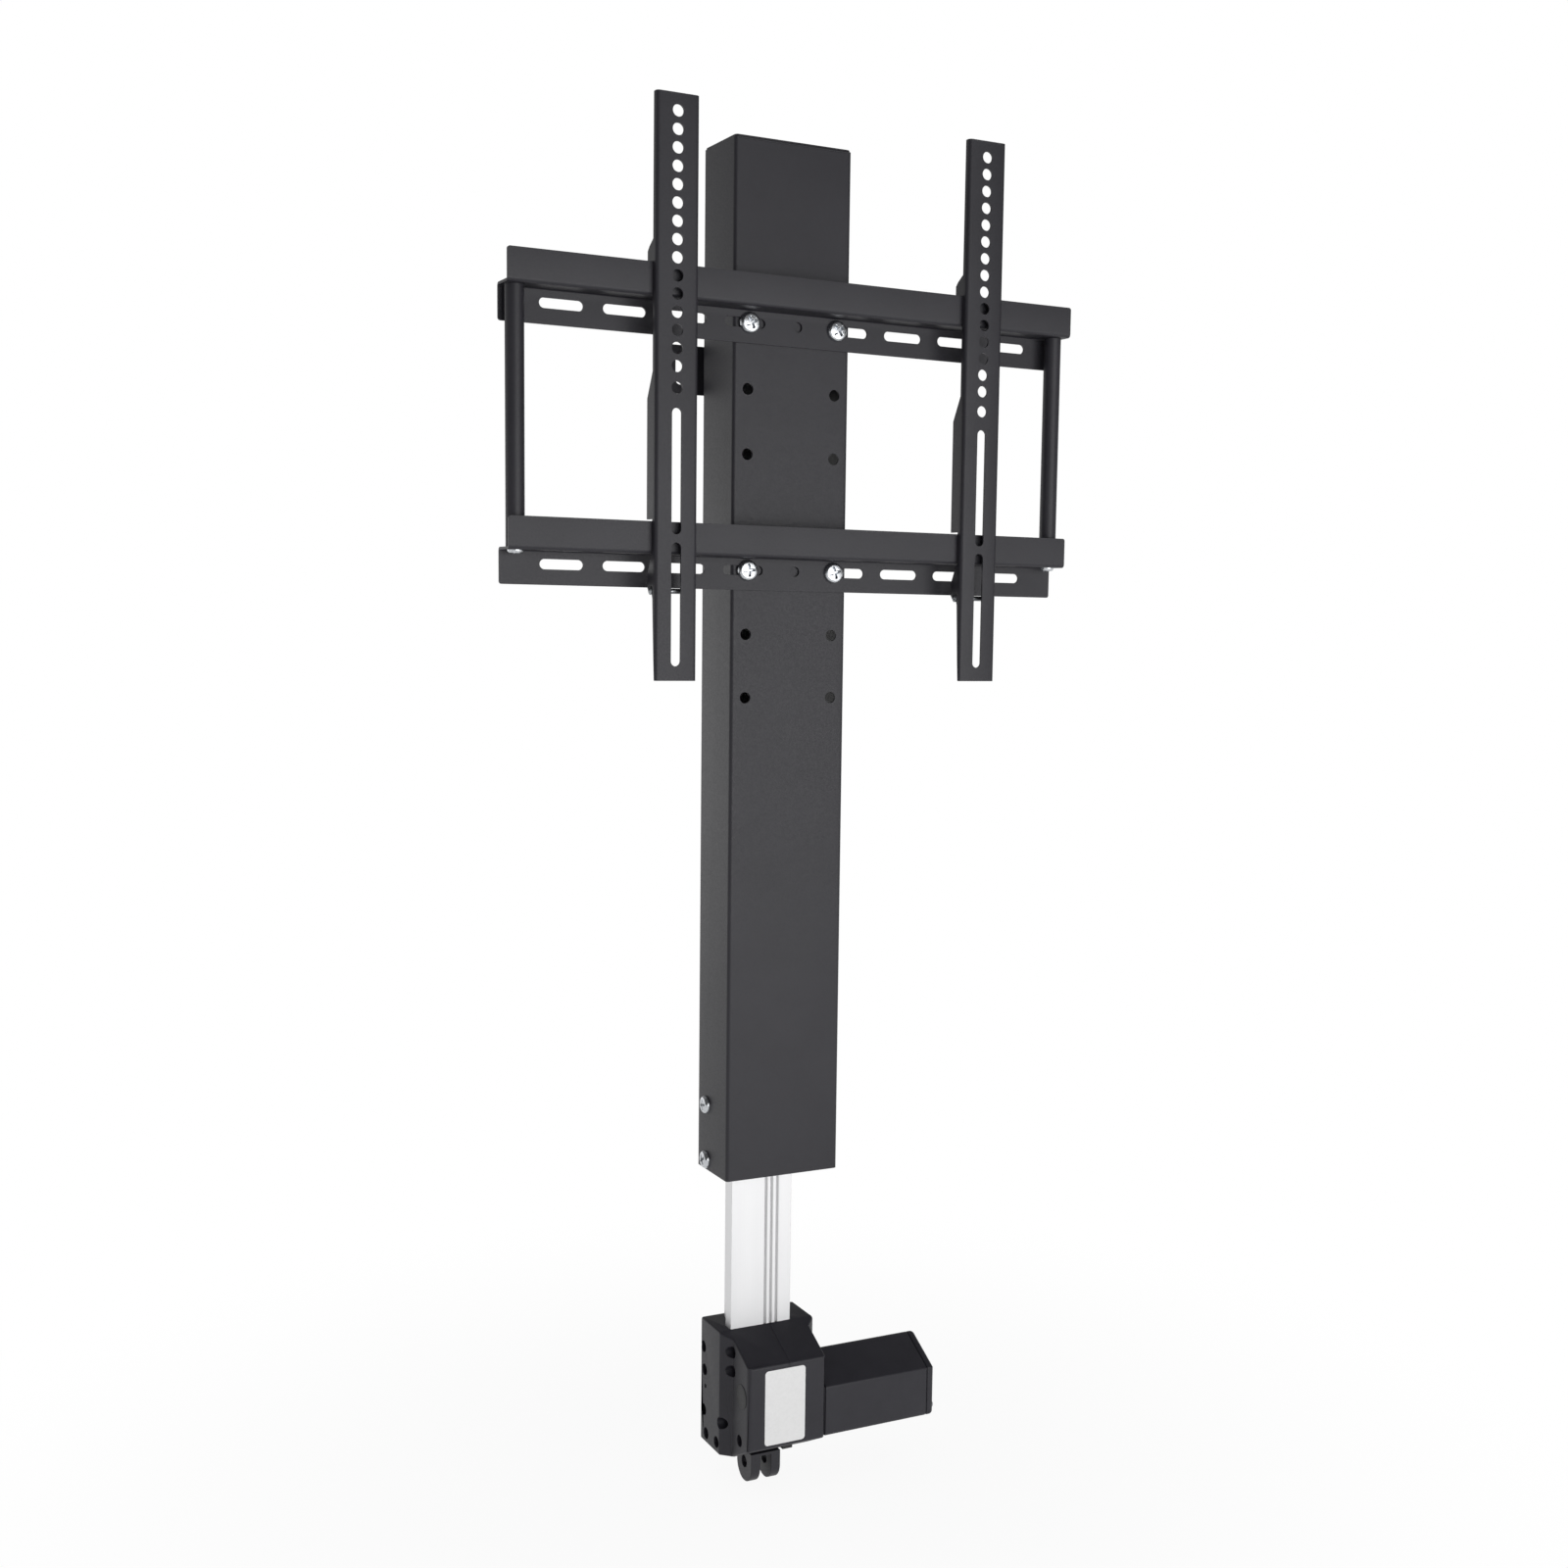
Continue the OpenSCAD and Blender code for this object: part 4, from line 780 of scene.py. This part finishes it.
def spindle_grid():
    """The spindle's skin: radius as a function of height and angle.

    The radius is the journal's or the seat's at that height; between the thread's ends it drops by a
    trapezoid wave whose phase climbs one lead for each turn."""
    lower = [(spindle_z0, 0), (spindle_z0, journal_r), (wheel_seat_z, journal_r),
             (wheel_seat_z, wheel_seat_r), (bearing_seat_z, wheel_seat_r), (bearing_seat_z, bearing_seat_r),
             (thread_z0, bearing_seat_r), (thread_z0, thread_r)]
    upper = [(thread_z1, thread_r), (thread_z1, journal_r), (spindle_z1, journal_r), (spindle_z1, 0)]
    thread = np.arange(thread_z0 + run_out, thread_z1 - run_out, ring_step)
    heights, radii = np.concatenate([lower, [(z, thread_r) for z in thread], upper]).T
    turn = full_turn(32)
    phase = heights[:, None] / thread_lead * thread_starts - turn * thread_starts / (2 * math.pi)
    wave = np.clip(thread_flank * np.abs(2 * (phase % 1) - 1) - thread_root, 0, 1)
    threaded = (heights > thread_z0) & (heights < thread_z1)
    radius = radii[:, None] - thread_depth * wave * threaded[:, None]
    return np.stack([radius * np.cos(turn), spindle_y + radius * np.sin(turn),
                     np.repeat(heights[:, None], len(turn), axis=1)], axis=-1)


spindle_data = grid_mesh("spindle_rolled", [spindle_grid()])
link_piece("spindle_rolled", spindle_data, "spindle", steel)

# The slider is a nylon block in the column's foot, with acetal pads that glide on the guide rail.
# Its nut sits in the rail's channel, and the nut carrier joins the two behind the rail.


def acetal():
    """Natural acetal: milky, waxy and faintly translucent."""
    material, tree, place = start_material("natural_acetal")
    flow = grain(tree, place, 6 * mm, 2.0)
    close_material(tree, {"IOR": 1.48, "Subsurface Weight": 0.08, "Subsurface Radius": (2 * mm,) * 3},
                   {"Base Color": tint(tree, flow, "#DAD8CF", "#E6E4DC"),
                    "Roughness": spread(tree, flow, 0.32, 0.42),
                    "Normal": relief(tree, flow, 0.02 * mm, 0.3)})
    return material


slider_nylon = moulded_nylon("machined_black_nylon", "#1E1E20", "#232325", 0.8 * mm)
softened("slider_block", slider_nylon, 0.5 * mm)
pad_acetal = acetal()
softened("glide_pads", pad_acetal, 0.3 * mm)
softened("drive_nut", pad_acetal, 0.5 * mm)
softened("nut_carrier", frame_coat, 0.5 * mm)
carrier_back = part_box("nut_carrier")[1][1]
carrier_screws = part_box("carrier_screws")
carrier_head_r = 3.8 * mm
carrier_screw = screw_grid(head_r=carrier_head_r, head_t=2.2 * mm, shank_r=2.2 * mm, shank_len=5.5 * mm,
                           recess=2.3 * mm)
carrier_sides = ((carrier_screws[0][0] + carrier_head_r, 0.3), (carrier_screws[1][0] - carrier_head_r, 1.1))
carrier_rows = (carrier_screws[0][2] + carrier_head_r, carrier_screws[1][2] - carrier_head_r)
screws("carrier_screws", zinc, carrier_screw,
       [((x, carrier_back, z), (0, 1, 0), twist) for x, twist in carrier_sides for z in carrier_rows])

# The column is folded from 2 mm steel sheet, open at the back, and coated matt black.
# A cap of the same matt black closes its top, and pan-head screws in its sides hold the slider in its foot.
softened("column", frame_coat, 0.4 * mm)
cap_coat = powder_coat("matt_black_cap", "#232228", "#28272C")
softened("column_cap", cap_coat, 0.6 * mm, segments=3)
column_x1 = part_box("column")[1][0]
side_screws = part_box("slider_screws")
side_head_r = 7.5 * mm
side_screw = screw_grid(head_r=side_head_r, head_t=4 * mm, shank_r=3.3 * mm, shank_len=14 * mm,
                        recess=4.4 * mm)
side_rows = ((side_screws[0][2] + side_head_r, 0.5), (side_screws[1][2] - side_head_r, 0.15))
screws("slider_screws", zinc, side_screw,
       [((way * column_x1, middle(side_screws, 1), z), (way, 0, 0), twist)
        for way in both_sides for z, twist in side_rows])

# Two cross rails, pressed from 2 mm steel, are bolted across the column's front.
# Round tubes hold them apart at their ends, with a screw in each end of each tube.
for node in ("upper_rail", "lower_rail"):
    softened(node, frame_coat, 0.45 * mm)
for node in ("left_side_tube", "right_side_tube"):
    softened(node, frame_coat, 0.3 * mm)
tube_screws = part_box("tube_screws")
tube_head_r = 6 * mm
tube_head_t = 3 * mm
tube_screw = screw_grid(head_r=tube_head_r, head_t=tube_head_t, shank_r=2.35 * mm, shank_len=18 * mm,
                        recess=3.6 * mm)
tube_x = (tube_screws[0][0] + tube_head_r, tube_screws[1][0] - tube_head_r)
# Each screw stops at an angle of its own, so the twist changes with its place
tube_ends = ((tube_screws[0][2] + tube_head_t, -1), (tube_screws[1][2] - tube_head_t, 1))
screws("tube_screws", zinc, tube_screw,
       [((x, middle(tube_screws, 1), z), (0, 0, way), 0.3 + x * 5) for x in tube_x for z, way in tube_ends])

# Four domed bolts of pressed steel, plated with bright zinc, hold the rails through their slots.
# Their flanged nuts lie inside the column, against its front wall.
bolt_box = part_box("rail_bolts")
bolt_head_r = 8.4 * mm
bolt_head_t = 4.6 * mm
bolt = screw_grid(head_r=bolt_head_r, head_t=bolt_head_t, shank_r=3.5 * mm, shank_len=12.5 * mm,
                  recess=5 * mm)
bolt_seat_y = bolt_box[0][1] + bolt_head_t
bolt_x = (bolt_box[0][0] + bolt_head_r, bolt_box[1][0] - bolt_head_r)
bolt_z = (bolt_box[0][2] + bolt_head_r, bolt_box[1][2] - bolt_head_r)
screws("rail_bolts", zinc, bolt,
       [((x, bolt_seat_y, z), (0, -1, 0), 0.25 + 3 * x + 2 * z) for x in bolt_x for z in bolt_z])
softened("rail_nuts", zinc, 0.3 * mm)

# The arms are long channels folded from 2 mm steel; they hook over the rails and slide along them.
# A screw under the lower rail keeps each arm on.
for side in ("left", "right"):
    softened(side + "_arm", frame_coat, 0.5 * mm)
    dress(side + "_lock_screw", steel)

# The photograph's camera stands to the left of the lift, a little above its middle, and looks slightly down.
# It is a plain lens with a slight roll, and its picture is cut off-centre.
# Its focal length and optical centre are in the photograph's pixels.
camera_place = Vector((-666.48, -1456.93, 720.39)) * mm
camera_turn = math.radians(-29.175)
camera_rise = math.radians(6.428)
camera_roll = math.radians(1.129)
picture_px = 1600
focal_px = 1985.8
centre_px = (939.34, 851.28)
sensor = 36
back = Vector((math.sin(camera_turn) * math.cos(camera_rise), -math.cos(camera_turn) * math.cos(camera_rise),
               math.sin(camera_rise)))
level = (-back).cross(Vector((0, 0, 1))).normalized()
upright = level.cross(-back)
right = math.cos(camera_roll) * level + math.sin(camera_roll) * upright
up = math.cos(camera_roll) * upright - math.sin(camera_roll) * level
eye = bpy.data.cameras.new("photo_camera")
eye.sensor_width = sensor
eye.lens = sensor * focal_px / picture_px
eye.shift_x = (picture_px / 2 - centre_px[0]) / picture_px
eye.shift_y = (centre_px[1] - picture_px / 2) / picture_px
eye.clip_end = 50
camera = add_object("photo_camera", eye)
camera.matrix_world = Matrix.Translation(camera_place) @ Matrix((right, up, back)).transposed().to_4x4()
bpy.context.scene.camera = camera

# A plain white paper floor just under the clevis runs out of sight, and a white studio stands behind.
# Soft light comes from a wide box in front on the right and a weaker one behind on the left;
# reflections see a pale backdrop behind the lift and a dim room in front and overhead.


def pale_floor():
    """Matt white paper that shows nearly white to the camera and keeps a soft shadow near the foot.

    The light path's share of plain white grows with the distance from the foot for the camera, is fixed
    for reflections, and is none for all other light, which sees the paper."""
    material, tree, place = start_material("white_paper_floor")
    path = add_node(tree, "ShaderNodeLightPath", {})
    fibre = grain(tree, place, 4 * mm, 2.0)
    paper = add_node(tree, "ShaderNodeBsdfDiffuse", {}, {"Color": tint(tree, fibre, "#F4F4F4", "#F7F7F7")})
    bright = add_node(tree, "ShaderNodeEmission", {"Color": (1, 1, 1, 1), "Strength": 1.0})
    away = add_node(tree, "ShaderNodeVectorMath", {"operation": "LENGTH"}, {"Vector": place})
    fade = add_node(tree, "ShaderNodeMapRange",
                    {"From Min": 0.15, "From Max": 0.8, "To Min": 0.92, "To Max": 1.0,
                     "interpolation_type": "SMOOTHSTEP"}, {"Value": away.outputs["Value"]})
    seen = add_node(tree, "ShaderNodeMath", {"operation": "MULTIPLY"},
                    {0: path.outputs["Is Camera Ray"], 1: fade.outputs["Result"]})
    share = add_node(tree, "ShaderNodeMath", {"operation": "MULTIPLY_ADD", 1: 0.7},
                     {0: path.outputs["Is Glossy Ray"], 2: seen.outputs["Value"]})
    mix = add_node(tree, "ShaderNodeMixShader", {},
                   {0: share.outputs["Value"], 1: paper.outputs["BSDF"], 2: bright.outputs["Emission"]})
    add_node(tree, "ShaderNodeOutputMaterial", {}, {"Surface": mix.outputs["Shader"]})
    return material


floor_reach = 30.0
floor_z = cad_box[0][2] - 0.5 * mm
floor_corners = [(x * floor_reach, y * floor_reach, floor_z) for x, y in ((-1, -1), (1, -1), (1, 1), (-1, 1))]
floor_data = bpy.data.meshes.new("floor")
floor_data.from_pydata(floor_corners, [], [(0, 1, 2, 3)])
coat(floor_data, pale_floor())
floor = add_object("floor", floor_data)


def softbox(name, place, target, width, height, radiance):
    """A rectangular area lamp of an even radiance that faces a point."""
    lamp = bpy.data.lights.new(name, "AREA")
    lamp.shape = "RECTANGLE"
    lamp.size = width
    lamp.size_y = height
    lamp.energy = radiance * math.pi * width * height
    facing = (Vector(target) - Vector(place)).to_track_quat("-Z", "Y").to_matrix().to_4x4()
    add_object(name, lamp).matrix_world = Matrix.Translation(Vector(place)) @ facing


softbox("front_softbox", (0.5, -2.5, 0.45), (0, 0, 0.45), width=2.3, height=1.8, radiance=3.0)
softbox("left_softbox", (-1.6, 2.6, 0.3), (0, 0, 0.4), width=2.4, height=1.5, radiance=0.65)


def white_studio():
    """A world that the camera sees as plain white.

    Reflections see a backdrop, which is the product of how far behind and how low they look, over a dim
    room, and all other light gets an even glow."""
    world = bpy.data.worlds.new("studio")
    world.use_nodes = True
    sky = world.node_tree
    sky.nodes.clear()
    path = add_node(sky, "ShaderNodeLightPath", {})
    around = add_node(sky, "ShaderNodeTexCoord", {})
    way = add_node(sky, "ShaderNodeSeparateXYZ", {}, {"Vector": around.outputs["Generated"]})
    behind = add_node(sky, "ShaderNodeMapRange",
                      {"From Min": -0.2, "From Max": 0.6, "To Min": 0.0, "To Max": 1.0,
                       "interpolation_type": "SMOOTHSTEP"}, {"Value": way.outputs["Y"]})
    low = add_node(sky, "ShaderNodeMapRange",
                   {"From Min": -0.05, "From Max": 0.45, "To Min": 0.7, "To Max": 0.14,
                    "interpolation_type": "SMOOTHSTEP"}, {"Value": way.outputs["Z"]})
    backdrop = add_node(sky, "ShaderNodeMath", {"operation": "MULTIPLY_ADD", 2: 0.10},
                        {0: behind.outputs["Result"], 1: low.outputs["Result"]})
    glow = add_node(sky, "ShaderNodeBackground", {"Color": (1, 1, 1, 1), "Strength": 0.45})
    mirrored = add_node(sky, "ShaderNodeBackground", {"Color": (1, 1, 1, 1)},
                        {"Strength": backdrop.outputs["Value"]})
    plain = add_node(sky, "ShaderNodeBackground", {"Color": (1, 1, 1, 1), "Strength": 1.0})
    unseen = add_node(sky, "ShaderNodeMixShader", {},
                      {0: path.outputs["Is Glossy Ray"], 1: glow.outputs["Background"],
                       2: mirrored.outputs["Background"]})
    whole = add_node(sky, "ShaderNodeMixShader", {},
                     {0: path.outputs["Is Camera Ray"], 1: unseen.outputs["Shader"],
                      2: plain.outputs["Background"]})
    add_node(sky, "ShaderNodeOutputWorld", {}, {"Surface": whole.outputs["Shader"]})
    return world


bpy.context.scene.world = white_studio()
bpy.context.scene.view_settings.view_transform = "Standard"
